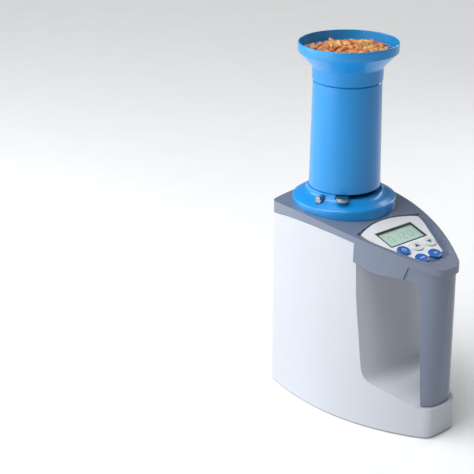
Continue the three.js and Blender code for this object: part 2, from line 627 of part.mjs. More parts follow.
// A round plate with two opposite windows, which pass the grain when they line up with another's.
function windowPlate(radius, low, thickness, angle) {
  const [under, over] = [low - 5, low + thickness + 5];
  let disc = solid(cylinder(radius, low, low + thickness, 0, 0, 64));
  for (const side of [0, 180])
    disc = disc.subtract(solid(sector(...WINDOW_RADII, angle + side - 35, angle + side + 35, under, over)));
  return disc.subtract(solid(cylinder(PIVOT_BORE, under, over, 0, 0, 24)));
}

function dropperParts(group) {
  const blue = plastic(0x2d8cd8, 0.3);
  const chrome = metal(0xd4d8da, 0.15);
  part(group, "flange_ring", flangeRing(), blue);
  const top = TUBE_BOTTOM + TUBE_LENGTH;
  const tube = [
    [TUBE_RADIUS - TUBE_WALL, TUBE_BOTTOM], [TUBE_RADIUS, TUBE_BOTTOM], [TUBE_TOP_RADIUS, top],
    [TUBE_TOP_RADIUS - TUBE_WALL, top],
  ];
  part(group, "drop_tube", turnedPart(tube, 96), blue);
  const grate = windowPlate(SHUTTER_BORE - GAP, GRATE_Z, GRATE_THICK, 0);
  part(group, "drop_grate", grate, plastic(0x3a4149));
  const pinRadius = PIVOT_BORE - 0.05;
  const pin = [
    [0, SHELF_Z - 0.9], [4, SHELF_Z - 0.9], [4, SHELF_Z], [pinRadius, SHELF_Z], [pinRadius, LEVER_Z - 0.1],
    [0, LEVER_Z - 0.1],
  ];
  part(group, "shutter_pivot", turnedPart(pin, 24), chrome);
  const disc = windowPlate(SHUTTER_RADIUS, SHUTTER_Z, SHUTTER_THICK, -SHUTTER_TURN);
  part(group, "shutter_disc", disc, metal(0xb9bdc0, 0.3));
  const outline = [[12, -LEVER_WIDTH / 2], [LEVER_REACH - 5, -LEVER_WIDTH / 2]];
  for (let a = -70; a <= 70; a += 20)
    outline.push([LEVER_REACH - 5 + 5 * Math.cos(a * round), (LEVER_WIDTH / 2) * Math.sin(a * round)]);
  outline.push([LEVER_REACH - 5, LEVER_WIDTH / 2], [12, LEVER_WIDTH / 2]);
  const lever = plate(outline, LEVER_Z, LEVER_Z + LEVER_THICK).rotateZ(LEVER_ANGLE * round);
  part(group, "shutter_lever", lever, chrome);
  const near = SHUTTER_BORE + BUTTON_STROKE + GAP;
  const stem = radialCylinder(BUTTON_RADIUS, near, BUTTON_REACH, BUTTON_Z, BUTTON_ANGLE);
  part(group, "release_button", stem, chrome);
}

function hopper() {
  const z = TUBE_BOTTOM + TUBE_LENGTH + GAP;
  const top = z + HOPPER_HEIGHT;
  const neck = TUBE_TOP_RADIUS + 0.9;
  const spigot = TUBE_TOP_RADIUS - TUBE_WALL - 0.5;
  const profile = [
    [spigot - 2.2, z - 12], [spigot, z - 12], [spigot, z], [neck, z], [neck + 0.1, z + 14.2],
    [neck + 1.6, z + 16.4], [HOPPER_RADIUS - 1.4, top - HOPPER_RIM - 0.5],
    [HOPPER_RADIUS, top - HOPPER_RIM + 0.6], [HOPPER_RADIUS, top - 1], [HOPPER_RADIUS - 0.6, top],
    [HOPPER_RADIUS - 1.8, top], [HOPPER_RADIUS - 2.4, top - HOPPER_RIM + 0.6],
    [spigot + 1, z + 16], [spigot - 2.2, z + 10],
  ];
  return turnedPart(profile, 96);
}

// ---- the whole meter ----

const meter = new THREE.Group();
meter.name = "grain_moisture_meter";
part(meter, "lower_housing", lowerHousing(), plastic(0xe9ecf3, 0.35));
part(meter, "top_cover", topCover(), plastic(0x76808f, 0.35));
part(meter, "handle_column", handleColumn(), plastic(0x76808f, 0.35));
baseParts(meter);
batteryParts(meter);
chamberParts(meter);
electronics(meter);
part(meter, "display_overlay", displayOverlay(), plastic(0xcdd1d3, 0.3));
for (const [name, x, y, colour] of KEYS) part(meter, name, keyCap(x, y), plastic(colour, 0.35));
dropperParts(meter);
part(meter, "hopper_funnel", hopper(), plastic(0x2d8cd8, 0.3));

// The origin is the middle of the footprint, on the table.
const extent = new THREE.Box3().setFromObject(meter);
meter.position.y = -(extent.min.y + extent.max.y) / 2;
export default meter;
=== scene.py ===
"""Grain moisture meter: the visual model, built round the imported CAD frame.

Lengths in the classes are millimetres, measured from the drop tube's axis with the
front towards -Y. Meshes are placed in metres in the frame of the CAD model.
"""

import json
import logging
import math
import random
from dataclasses import dataclass
from enum import Enum
from typing import Callable, Iterable, Sequence

import bpy
from mathutils import Euler, Matrix, Vector

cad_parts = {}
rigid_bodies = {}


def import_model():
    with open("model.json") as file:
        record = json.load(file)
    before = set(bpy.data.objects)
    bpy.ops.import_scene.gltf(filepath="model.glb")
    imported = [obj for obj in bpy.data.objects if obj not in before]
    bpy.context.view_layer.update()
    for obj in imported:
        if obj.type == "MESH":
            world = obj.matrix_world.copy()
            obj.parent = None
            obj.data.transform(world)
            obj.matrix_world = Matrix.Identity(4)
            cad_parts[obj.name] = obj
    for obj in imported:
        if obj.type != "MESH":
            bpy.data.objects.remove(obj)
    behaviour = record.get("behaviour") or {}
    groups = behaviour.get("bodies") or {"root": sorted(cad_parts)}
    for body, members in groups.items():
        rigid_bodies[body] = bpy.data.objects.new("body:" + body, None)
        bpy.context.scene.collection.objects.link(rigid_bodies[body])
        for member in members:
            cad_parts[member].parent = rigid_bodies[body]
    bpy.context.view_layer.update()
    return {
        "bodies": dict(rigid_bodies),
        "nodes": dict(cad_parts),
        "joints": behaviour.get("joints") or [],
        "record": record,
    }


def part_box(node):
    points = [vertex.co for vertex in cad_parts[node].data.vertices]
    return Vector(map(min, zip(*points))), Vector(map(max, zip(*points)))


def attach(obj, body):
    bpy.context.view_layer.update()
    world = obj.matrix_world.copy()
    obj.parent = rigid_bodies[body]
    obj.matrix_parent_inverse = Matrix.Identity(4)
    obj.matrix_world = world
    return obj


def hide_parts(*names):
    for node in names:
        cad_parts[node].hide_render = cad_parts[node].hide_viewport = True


LOG = logging.getLogger("moisture_meter")
MM = 0.001
Point2 = tuple[float, float]
Point3 = tuple[float, float, float]
Colour = tuple[float, float, float]
Piece = bpy.types.Object
Socket = bpy.types.NodeSocket

# Where outlines and tools end, well outside the housing.
FAR_SIDE = 95.0
FAR_FRONT = -180.0
FAR_REAR = 90.0


# ---------------------------------------------------------------- modelling tools


def deselect() -> None:
    """Leave edit mode and clear the selection."""
    if bpy.context.object and bpy.context.object.mode != "OBJECT":
        bpy.ops.object.mode_set(mode="OBJECT")
    bpy.ops.object.select_all(action="DESELECT")


def activate(obj: Piece) -> None:
    """Make one object the only selected and active one."""
    deselect()
    obj.select_set(True)
    bpy.context.view_layer.objects.active = obj


def tidy_mesh(obj: Piece, close: bool = False) -> None:
    """Merge doubles, optionally fill open ends, and turn faces outwards.

    Args:
        obj: The mesh object.
        close: Fill every open boundary with a face.
    """
    activate(obj)
    bpy.ops.object.mode_set(mode="EDIT")
    bpy.ops.mesh.select_mode(type="VERT")
    bpy.ops.mesh.select_all(action="SELECT")
    bpy.ops.mesh.remove_doubles(threshold=0.00002)
    if close:
        bpy.ops.mesh.select_all(action="SELECT")
        bpy.ops.mesh.fill_holes(sides=0)
    bpy.ops.mesh.select_all(action="SELECT")
    bpy.ops.mesh.normals_make_consistent(inside=False)
    bpy.ops.object.mode_set(mode="OBJECT")


def lofted(name: str, rings: Sequence[Sequence[Point3]]) -> Piece:
    """A closed skin through rings with the same number of points, capped at both ends.

    Args:
        name: Object name.
        rings: Closed rings of points in millimetres.

    Returns:
        The new object.
    """
    count, levels = len(rings[0]), len(rings)
    deselect()
    bpy.ops.mesh.primitive_grid_add(x_subdivisions=count, y_subdivisions=levels - 1, size=1)
    obj = bpy.context.object
    obj.name = name
    for vertex in obj.data.vertices:
        column = round((vertex.co.x + 0.5) * count) % count
        level = round((vertex.co.y + 0.5) * (levels - 1))
        vertex.co = Vector(rings[level][column]) * MM
    tidy_mesh(obj, close=True)
    return obj


def spun(name: str, profile: Sequence[Point2], steps: int = 160) -> Piece:
    """A turned part: a closed profile (radius, height) carried round the tube's axis.

    Args:
        name: Object name.
        profile: Closed profile points in millimetres.
        steps: Facets round the turn.

    Returns:
        The new object.
    """
    deselect()
    bpy.ops.mesh.primitive_circle_add(vertices=len(profile), radius=1, fill_type="NOTHING")
    obj = bpy.context.object
    obj.name = name
    for vertex, (radius, height) in zip(obj.data.vertices, profile):
        vertex.co = Vector((radius, 0, height)) * MM
    bpy.ops.object.mode_set(mode="EDIT")
    bpy.ops.mesh.select_all(action="SELECT")
    bpy.ops.mesh.spin(steps=steps, angle=math.tau, center=(0, 0, 0), axis=(0, 0, 1))
    bpy.ops.object.mode_set(mode="OBJECT")
    tidy_mesh(obj)
    return obj


def slab(name: str, outline: Sequence[Point2], low: float, high: float) -> Piece:
    """A flat outline in the XY plane, filled and extruded from low to high.

    Args:
        name: Object name.
        outline: Closed outline in millimetres.
        low: Height of the underside.
        high: Height of the top.

    Returns:
        The new object.
    """
    deselect()
    bpy.ops.mesh.primitive_circle_add(vertices=len(outline), radius=1, fill_type="NGON")
    obj = bpy.context.object
    obj.name = name
    for vertex, (x, y) in zip(obj.data.vertices, outline):
        vertex.co = Vector((x, y, low)) * MM
    bpy.ops.object.mode_set(mode="EDIT")
    bpy.ops.mesh.select_all(action="SELECT")
    bpy.ops.mesh.extrude_region_move(TRANSFORM_OT_translate={"value": (0, 0, (high - low) * MM)})
    bpy.ops.object.mode_set(mode="OBJECT")
    tidy_mesh(obj)
    return obj


def side_slab(
    name: str,
    outline_at: Callable[[float], Sequence[Point2]],
    stations: Sequence[float] = (-FAR_SIDE, FAR_SIDE),
) -> Piece:
    """A prism along X whose outline may change from station to station.

    Args:
        name: Object name.
        outline_at: Gives the outline (y, z) at a place along X.
        stations: The places along X.

    Returns:
        The new object.
    """
    return lofted(name, [[(x, y, z) for y, z in outline_at(x)] for x in stations])


def stations_across(half: float, count: int) -> list[float]:
    """Places along X, evenly spaced over the middle and one far out on each side.

    Args:
        half: Half the width of the evenly spaced run.
        count: How many places it has.

    Returns:
        The places in order.
    """
    step = 2 * half / (count - 1)
    return [-FAR_SIDE] + [-half + step * i for i in range(count)] + [FAR_SIDE]


def combine(
    obj: Piece, others: Iterable[Piece], how: str = "DIFFERENCE"
) -> Piece:
    """Apply one boolean after another to obj, and remove the tools.

    Args:
        obj: The piece that is kept.
        others: The tools, which are removed.
        how: DIFFERENCE, INTERSECT or UNION.

    Returns:
        The piece.
    """
    for other in others:
        activate(obj)
        modifier = obj.modifiers.new("combine", "BOOLEAN")
        modifier.operation = how
        modifier.object = other
        modifier.solver = "EXACT"
        bpy.ops.object.modifier_apply(modifier=modifier.name)
        bpy.data.objects.remove(other)
    return obj


def soften(
    obj: Piece, width: float, segments: int = 3, corner: float = 32, smooth: float = 32
) -> Piece:
    """Round the sharp edges of a piece and smooth its shading.

    Args:
        obj: The piece.
        width: Bevel width in millimetres.
        segments: Bevel segments.
        corner: Edges sharper than this many degrees are rounded.
        smooth: Edges flatter than this many degrees are shaded smooth.

    Returns:
        The piece.
    """
    activate(obj)
    bevel = obj.modifiers.new("round", "BEVEL")
    bevel.width = width * MM
    bevel.segments = segments
    bevel.limit_method = "ANGLE"
    bevel.angle_limit = math.radians(corner)
    bevel.miter_outer = "MITER_ARC"
    bpy.ops.object.modifier_apply(modifier=bevel.name)
    bpy.ops.object.shade_smooth_by_angle(angle=math.radians(smooth))
    even = obj.modifiers.new("even", "WEIGHTED_NORMAL")
    even.keep_sharp = True
    bpy.ops.object.modifier_apply(modifier=even.name)
    return obj


def pick_level_faces(obj: Piece, side: int) -> None:
    """Go to edit mode with only the level faces on one side selected.

    Args:
        obj: The piece, which is the active object.
        side: 1 for the faces that look up, -1 for those that look down.
    """
    bpy.ops.object.mode_set(mode="EDIT")
    bpy.ops.mesh.select_mode(type="FACE")
    bpy.ops.mesh.select_all(action="DESELECT")
    bpy.ops.object.mode_set(mode="OBJECT")
    for face in obj.data.polygons:
        face.select = face.normal.z * side > 0.9
    bpy.ops.object.mode_set(mode="EDIT")


def triangulate(obj: Piece) -> Piece:
    """Split every face into triangles, so that faces with holes keep their form.

    Args:
        obj: The piece.

    Returns:
        The piece.
    """
    activate(obj)
    split = obj.modifiers.new("split", "TRIANGULATE")
    bpy.ops.object.modifier_apply(modifier=split.name)
    return obj


def carry(obj: Piece, matrix: Matrix) -> Piece:
    """Move a piece's mesh by a matrix, leaving the object at the origin.

    Args:
        obj: The piece.
        matrix: The move.

    Returns:
        The piece.
    """
    obj.data.transform(matrix)
    obj.matrix_world = Matrix.Identity(4)
    return obj


def cylinder(
    name: str, radius: float, low: float, high: float, x: float = 0, y: float = 0, steps: int = 64
) -> Piece:
    """An upright cylinder added at its size and place, in millimetres.

    Args:
        name: Object name.
        radius: Its radius.
        low: Height of its underside.
        high: Height of its top.
        x: Place of its axis across the meter.
        y: Place of its axis along the meter.
        steps: Facets round it.

    Returns:
        The new object.
    """
    deselect()
    bpy.ops.mesh.primitive_cylinder_add(
        vertices=steps, radius=radius * MM, depth=(high - low) * MM,
        location=(x * MM, y * MM, (low + high) / 2 * MM),
    )
    obj = bpy.context.object
    obj.name = name
    bpy.ops.object.transform_apply(location=True, rotation=False, scale=False)
    return obj


def block(name: str, low: Point3, high: Point3) -> Piece:
    """A box between two corners, in millimetres."""
    outline = [(low[0], low[1]), (high[0], low[1]), (high[0], high[1]), (low[0], high[1])]
    return slab(name, outline, low[2], high[2])


def join(name: str, pieces: Sequence[Piece]) -> Piece:
    """Join pieces into one object.

    Args:
        name: Name of the joined object.
        pieces: The pieces, of which the first is kept.

    Returns:
        The joined object.
    """
    deselect()
    for piece in pieces:
        piece.select_set(True)
    bpy.context.view_layer.objects.active = pieces[0]
    bpy.ops.object.join()
    pieces[0].name = name
    return pieces[0]


def both_sides(points: Sequence[Point2]) -> list[Point2]:
    """A right-hand run of points and its mirror image, as one anticlockwise outline."""
    whole = list(points) + [(-x, y) for x, y in reversed(points)]
    return whole[::-1]


def sector(inner: float, outer: float, start: float, end: float, steps: int = 40) -> list[Point2]:
    """Outline of a ring sector.

    Args:
        inner: Inner radius.
        outer: Outer radius.
        start: First angle in degrees.
        end: Last angle in degrees.
        steps: Spans on each arc.

    Returns:
        The closed outline.
    """
    angles = [math.radians(start + (end - start) * i / steps) for i in range(steps + 1)]
    out = [(outer * math.cos(a), outer * math.sin(a)) for a in angles]
    return out + [(inner * math.cos(a), inner * math.sin(a)) for a in reversed(angles)]


def radial_cylinder(name: str, radius: float, near: float, far: float, z: float,
                    angle: float) -> Piece:
    """A level cylinder that leaves the tube's axis at an angle.

    Args:
        name: Object name.
        radius: Its radius.
        near: Distance of its inner end from the axis.
        far: Distance of its outer end.
        z: Height of its centre line.
        angle: Its direction in degrees.

    Returns:
        The new object.
    """
    obj = cylinder(name, radius, near, far, steps=48)
    turn = Matrix.Rotation(math.radians(angle), 4, "Z") @ Matrix.Rotation(math.pi / 2, 4, "Y")
    return carry(obj, Matrix.Translation((0, 0, z * MM)) @ turn)


def curve_through(points: Sequence[Point2], steps: int = 6) -> list[Point2]:
    """Points on a smooth curve through an open run of points.

    Args:
        points: The run.
        steps: New points for each span.

    Returns:
        The denser run, with both ends kept.
    """
    out: list[Point2] = []
    last = len(points) - 1
    for i in range(last):
        p0, p1 = Vector(points[max(0, i - 1)]), Vector(points[i])
        p2, p3 = Vector(points[i + 1]), Vector(points[min(last, i + 2)])
        for k in range(steps):
            t = k / steps
            point = (
                2 * p1
                + (p2 - p0) * t
                + (2 * p0 - 5 * p1 + 4 * p2 - p3) * t * t
                + (3 * p1 - 3 * p2 + p3 - p0) * t * t * t
            ) / 2
            out.append((point.x, point.y))
    out.append(tuple(points[last]))
    return out


def grown(outline: Sequence[Point2], margin: float) -> list[Point2]:
    """A closed outline moved outwards by a margin.

    Args:
        outline: The outline, anticlockwise.
        margin: How far it moves; a negative margin moves it inwards.

    Returns:
        The moved outline.
    """
    count = len(outline)
    out = []
    for i, (x, y) in enumerate(outline):
        before, after = outline[i - 1], outline[(i + 1) % count]
        along = Vector((after[0] - before[0], after[1] - before[1])).normalized()
        out.append((x + along.y * margin, y - along.x * margin))
    return out


# ---------------------------------------------------------------- finishes


class Graph:
    """A small helper that builds one node material on Object coordinates."""

    def __init__(self, name: str) -> None:
        """Start a material with a Principled shader and Object coordinates.

        Args:
            name: Name of the material.
        """
        self.material = bpy.data.materials.new(name)
        self.material.use_nodes = True
        self.nodes = self.material.node_tree.nodes
        self.links = self.material.node_tree.links
        self.nodes.clear()
        self.shader = self.nodes.new("ShaderNodeBsdfPrincipled")
        out = self.nodes.new("ShaderNodeOutputMaterial")
        self.links.new(self.shader.outputs["BSDF"], out.inputs["Surface"])
        self.place = self.nodes.new("ShaderNodeTexCoord").outputs["Object"]

    def stretched(self, scale: Point3) -> Socket:
        """Object coordinates scaled by axis.

        Args:
            scale: Factor for each axis.

        Returns:
            The scaled coordinates.
        """
        node = self.nodes.new("ShaderNodeMapping")
        node.inputs["Scale"].default_value = scale
        self.links.new(self.place, node.inputs["Vector"])
        return node.outputs["Vector"]

    def noise(
        self, scale: float, detail: float = 4, rough: float = 0.5, where: Socket | None = None
    ) -> Socket:
        """A noise pattern.

        Args:
            scale: Waves per metre.
            detail: Finer layers in the pattern.
            rough: How strong the finer layers are.
            where: Coordinates other than the plain Object ones.

        Returns:
            The pattern.
        """
        node = self.nodes.new("ShaderNodeTexNoise")
        node.inputs["Scale"].default_value = scale
        node.inputs["Detail"].default_value = detail
        node.inputs["Roughness"].default_value = rough
        self.links.new(where or self.place, node.inputs["Vector"])
        return node.outputs["Fac"]

    def ranged(self, value: Socket, low: float, high: float) -> Socket:
        """A pattern's middle range mapped to another range.

        Args:
            value: The pattern.
            low: What the bottom of the middle range becomes.
            high: What its top becomes.

        Returns:
            The mapped pattern.
        """
        node = self.nodes.new("ShaderNodeMapRange")
        node.inputs["From Min"].default_value = 0.3
        node.inputs["From Max"].default_value = 0.7
        node.inputs["To Min"].default_value = low
        node.inputs["To Max"].default_value = high
        self.links.new(value, node.inputs["Value"])
        return node.outputs["Result"]

    def ramp(
        self, value: Socket, stops: Sequence[tuple[float, Colour]]
    ) -> Socket:
        """A pattern turned into colours.

        Args:
            value: The pattern.
            stops: Places on the ramp with their colours.

        Returns:
            The colours.
        """
        node = self.nodes.new("ShaderNodeValToRGB")
        elements = node.color_ramp.elements
        while len(elements) < len(stops):
            elements.new(0.5)
        for element, (place, colour) in zip(elements, stops):
            element.position = place
            element.color = (*colour, 1)
        self.links.new(value, node.inputs["Fac"])
        return node.outputs["Color"]

    def bump(self, value: Socket, strength: float, height: float) -> None:
        """Drive the shader's normal from a pattern.

        Args:
            value: The pattern.
            strength: Share of the bump that shows.
            height: Height of the bump in millimetres.
        """
        node = self.nodes.new("ShaderNodeBump")
        node.inputs["Strength"].default_value = strength
        node.inputs["Distance"].default_value = height * MM
        self.links.new(value, node.inputs["Height"])
        self.links.new(node.outputs["Normal"], self.shader.inputs["Normal"])

    def set(self, **values: float) -> None:
        """Set sockets that are the same all over, such as Coat_Weight=0.5."""
        for name, value in values.items():
            self.shader.inputs[name.replace("_", " ")].default_value = value

    def drive(self, socket: str, value: Socket) -> None:
        """Link a pattern to one of the shader's sockets."""
        self.links.new(value, self.shader.inputs[socket])


class Texture(Enum):
    """Surface textures that a mould leaves: waves per metre, strength and height."""

    GLOSS = (900.0, 0.02, 0.01)
    SATIN = (1400.0, 0.06, 0.02)
    FINE = (2600.0, 0.25, 0.04)


@dataclass(frozen=True)
class Moulding:
    """Moulded plastic: even colour with faint flow marks, grain and handling wear."""

    name: str
    colour: Colour
    roughness: float
    texture: Texture = Texture.SATIN
    coat: float = 0.0
    mottle: float = 0.05
    sheen: float = 0.0

    def material(self) -> bpy.types.Material:
        """Build the material."""
        graph = Graph(self.name)
        flow = graph.noise(14, 3, 0.55, graph.stretched((1, 1, 0.35)))
        dark = tuple(c * (1 - self.mottle) for c in self.colour)
        light = tuple(min(1, c * (1 + self.mottle)) for c in self.colour)
        graph.drive("Base Color", graph.ramp(flow, [(0.3, dark), (0.7, light)]))
        smear = graph.noise(60, 5, 0.65)
        graph.drive("Roughness", graph.ranged(smear, self.roughness * 0.94, self.roughness * 1.07))
        scale, strength, height = self.texture.value
        graph.bump(graph.noise(scale, 2, 0.5), strength, height)
        graph.set(Coat_Weight=self.coat, Coat_Roughness=0.08, Sheen_Weight=self.sheen, IOR=1.5)
        return graph.material


@dataclass(frozen=True)
class Plating:
    """Plated or turned metal, with fine marks along one direction."""

    name: str
    colour: Colour
    roughness: float
    stretch: Point3 = (1.0, 1.0, 1.0)
    marks: float = 0.05

    def material(self) -> bpy.types.Material:
        """Build the material."""
        graph = Graph(self.name)
        lines = graph.noise(700, 3, 0.6, graph.stretched(self.stretch))
        dark = tuple(c * 0.9 for c in self.colour)
        graph.drive("Base Color", graph.ramp(lines, [(0.35, dark), (0.65, self.colour)]))
        graph.drive("Roughness", graph.ranged(lines, self.roughness * 0.7, self.roughness * 1.4))
        graph.bump(lines, self.marks, 0.02)
        graph.set(Metallic=1.0)
        return graph.material


@dataclass(frozen=True)
class Display:
    """The pale reflective face of a liquid crystal display, with faint clouding."""

    name: str
    light: Colour
    dark: Colour

    def material(self) -> bpy.types.Material:
        """Build the material."""
        graph = Graph(self.name)
        cloud = graph.noise(45, 2, 0.5)
        graph.drive("Base Color", graph.ramp(cloud, [(0.3, self.dark), (0.7, self.light)]))
        graph.drive("Roughness", graph.ranged(graph.noise(300), 0.28, 0.4))
        graph.bump(graph.noise(2400, 1), 0.05, 0.01)
        return graph.material


@dataclass(frozen=True)
class ClearWindow:
    """A thin clear window that lets the display below show."""

    name: str

    def material(self) -> bpy.types.Material:
        """Build the material."""
        graph = Graph(self.name)
        graph.drive("Roughness", graph.ranged(graph.noise(120, 4), 0.04, 0.1))
        haze = graph.noise(90, 3)
        stops = [(0.3, (0.8, 0.86, 0.83)), (0.7, (0.9, 0.95, 0.92))]
        graph.drive("Base Color", graph.ramp(haze, stops))
        graph.set(Alpha=0.07, IOR=1.25)
        return graph.material


@dataclass(frozen=True)
class Kernels:
    """Grain kernels: warm skins from cream to red-brown, by kernel, with pale streaks."""

    name: str
    stops: tuple[tuple[float, Colour], ...]

    def material(self) -> bpy.types.Material:
        """Build the material."""
        graph = Graph(self.name)
        tone = graph.nodes.new("ShaderNodeAttribute")
        tone.attribute_name = "kernel_tone"
        skin = graph.ramp(tone.outputs["Fac"], self.stops)
        streak = graph.noise(420, 4, 0.6)
        pale = graph.nodes.new("ShaderNodeMix")
        pale.data_type = "RGBA"
        pale.inputs["B"].default_value = (0.95, 0.72, 0.4, 1)
        graph.links.new(graph.ranged(streak, 0.0, 0.4), pale.inputs["Factor"])
        graph.links.new(skin, pale.inputs["A"])
        graph.drive("Base Color", pale.outputs["Result"])
        graph.drive("Roughness", graph.ranged(graph.noise(300), 0.32, 0.6))
        graph.bump(graph.noise(900, 4, 0.6), 0.35, 0.15)
        graph.set(Subsurface_Weight=0.08, Subsurface_Scale=0.002)
        return graph.material


class Finishes:
    """Every finish of the meter, built once and handed out by name."""

    ALL = {
        "white_shell": Moulding("white_shell", (0.54, 0.57, 0.63), 0.36, coat=0.1, mottle=0.012),
        "grey_cover": Moulding("grey_cover", (0.17, 0.205, 0.285), 0.32, coat=0.3, mottle=0.04),
        "pale_plastic": Moulding("pale_plastic", (0.6, 0.62, 0.64), 0.5, Texture.FINE),
        "rubber_foot": Moulding("rubber_foot", (0.03, 0.03, 0.033), 0.8, Texture.FINE, sheen=0.2),
        "screw_steel": Plating("screw_steel", (0.55, 0.56, 0.57), 0.35),
        "dark_plastic": Moulding("dark_plastic", (0.035, 0.04, 0.046), 0.45, Texture.FINE),
        "cell_sleeve": Plating("cell_sleeve", (0.5, 0.32, 0.12), 0.35),
        "aluminium_part": Plating("aluminium_part", (0.62, 0.63, 0.65), 0.35, (1, 0.05, 1), 0.2),
        "electrode_steel": Plating("electrode_steel", (0.62, 0.63, 0.64), 0.28, (0.3, 0.3, 3), 0.2),
        "circuit_board": Moulding("circuit_board", (0.02, 0.16, 0.08), 0.4, Texture.FINE),
        "lcd_body": Display("lcd_body", (0.55, 0.76, 0.66), (0.5, 0.7, 0.61)),
        # Display frame: near black, partly its own dark plastic and partly painted shade standing
        # in for the shadow inside the sunken window.
        "lcd_frame": Moulding("lcd_frame", (0.022, 0.035, 0.035), 0.35, Texture.GLOSS),
        "lcd_glass": ClearWindow("lcd_glass"),
        "silver_overlay": Moulding("silver_overlay", (0.84, 0.86, 0.87), 0.36, coat=0.2,
                                   mottle=0.015),
        "blue_key": Moulding("blue_key", (0.008, 0.125, 0.5), 0.3, Texture.GLOSS, 0.3),
        "white_key": Moulding("white_key", (0.72, 0.75, 0.76), 0.3, Texture.GLOSS, 0.4),
        "blue_plastic": Moulding("blue_plastic", (0.004, 0.275, 0.7), 0.3, Texture.GLOSS, 0.2),
        "chrome_part": Plating("chrome_part", (0.36, 0.36, 0.37), 0.24),
        "ink": Moulding("ink", (0.02, 0.1, 0.14), 0.5, Texture.GLOSS),
        "lcd_ink": Moulding("lcd_ink", (0.2, 0.29, 0.25), 0.5, Texture.GLOSS),
        "pale_ink": Moulding("pale_ink", (0.75, 0.8, 0.85), 0.5, Texture.GLOSS),
        "grain": Kernels(
            "grain",
            (
                (0.0, (0.24, 0.016, 0.004)),
                (0.16, (0.5, 0.06, 0.006)),
                (0.45, (0.68, 0.17, 0.012)),
                (0.75, (0.74, 0.32, 0.04)),
                (1.0, (0.72, 0.5, 0.18)),
            ),
        ),
        "floor": Moulding("floor", (0.86, 0.87, 0.88), 0.7, mottle=0.01),
    }

    def __init__(self) -> None:
        """Start with nothing built."""
        self.made: dict[str, bpy.types.Material] = {}

    def get(self, name: str) -> bpy.types.Material:
        """The material of a finish, built when it is first asked for.

        Args:
            name: Name of the finish.

        Returns:
            The material.
        """
        if name not in self.made:
            self.made[name] = self.ALL[name].material()
        return self.made[name]

    def dress(self, obj: Piece, name: str) -> None:
        """Give an object one finish all over."""
        obj.data.materials.clear()
        obj.data.materials.append(self.get(name))


class Workshop:
    """What every sub-assembly needs: the finishes, the tube's axis and a way to hand in a piece."""

    def __init__(self, frame: dict) -> None:
        """Find the tube's axis from the CAD model and give each CAD part its finish.
        """
        low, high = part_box("drop_tube")
        self.axis = Vector(((low.x + high.x) / 2, (low.y + high.y) / 2, 0))
        self.finishes = Finishes()
        self.slots = {m["slot"] for m in frame["record"]["materials"]}
        for sub in frame["record"]["subparts"]:
            self.finishes.dress(frame["nodes"][sub["node"]], sub["material_slot"])

    def hand_in(
        self, obj: Piece, body: str, finish: str, replaces: Sequence[str] = ()
    ) -> Piece:
        """Move a piece from the tube's axis to its place and tell the frame about it.

        Args:
            obj: The finished piece, made about the tube's axis.
            body: The CAD body that it moves with.
            finish: Name of its finish.
            replaces: CAD nodes that it stands for.

        Returns:
            The piece.
        """
        carry(obj, Matrix.Translation(self.axis))
        self.finishes.dress(obj, finish)
        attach(obj, body)
        if replaces:
            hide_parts(*replaces)
        LOG.info("%s: %d faces on %s", obj.name, len(obj.data.polygons), body)
        return obj


# ---------------------------------------------------------------- the housing


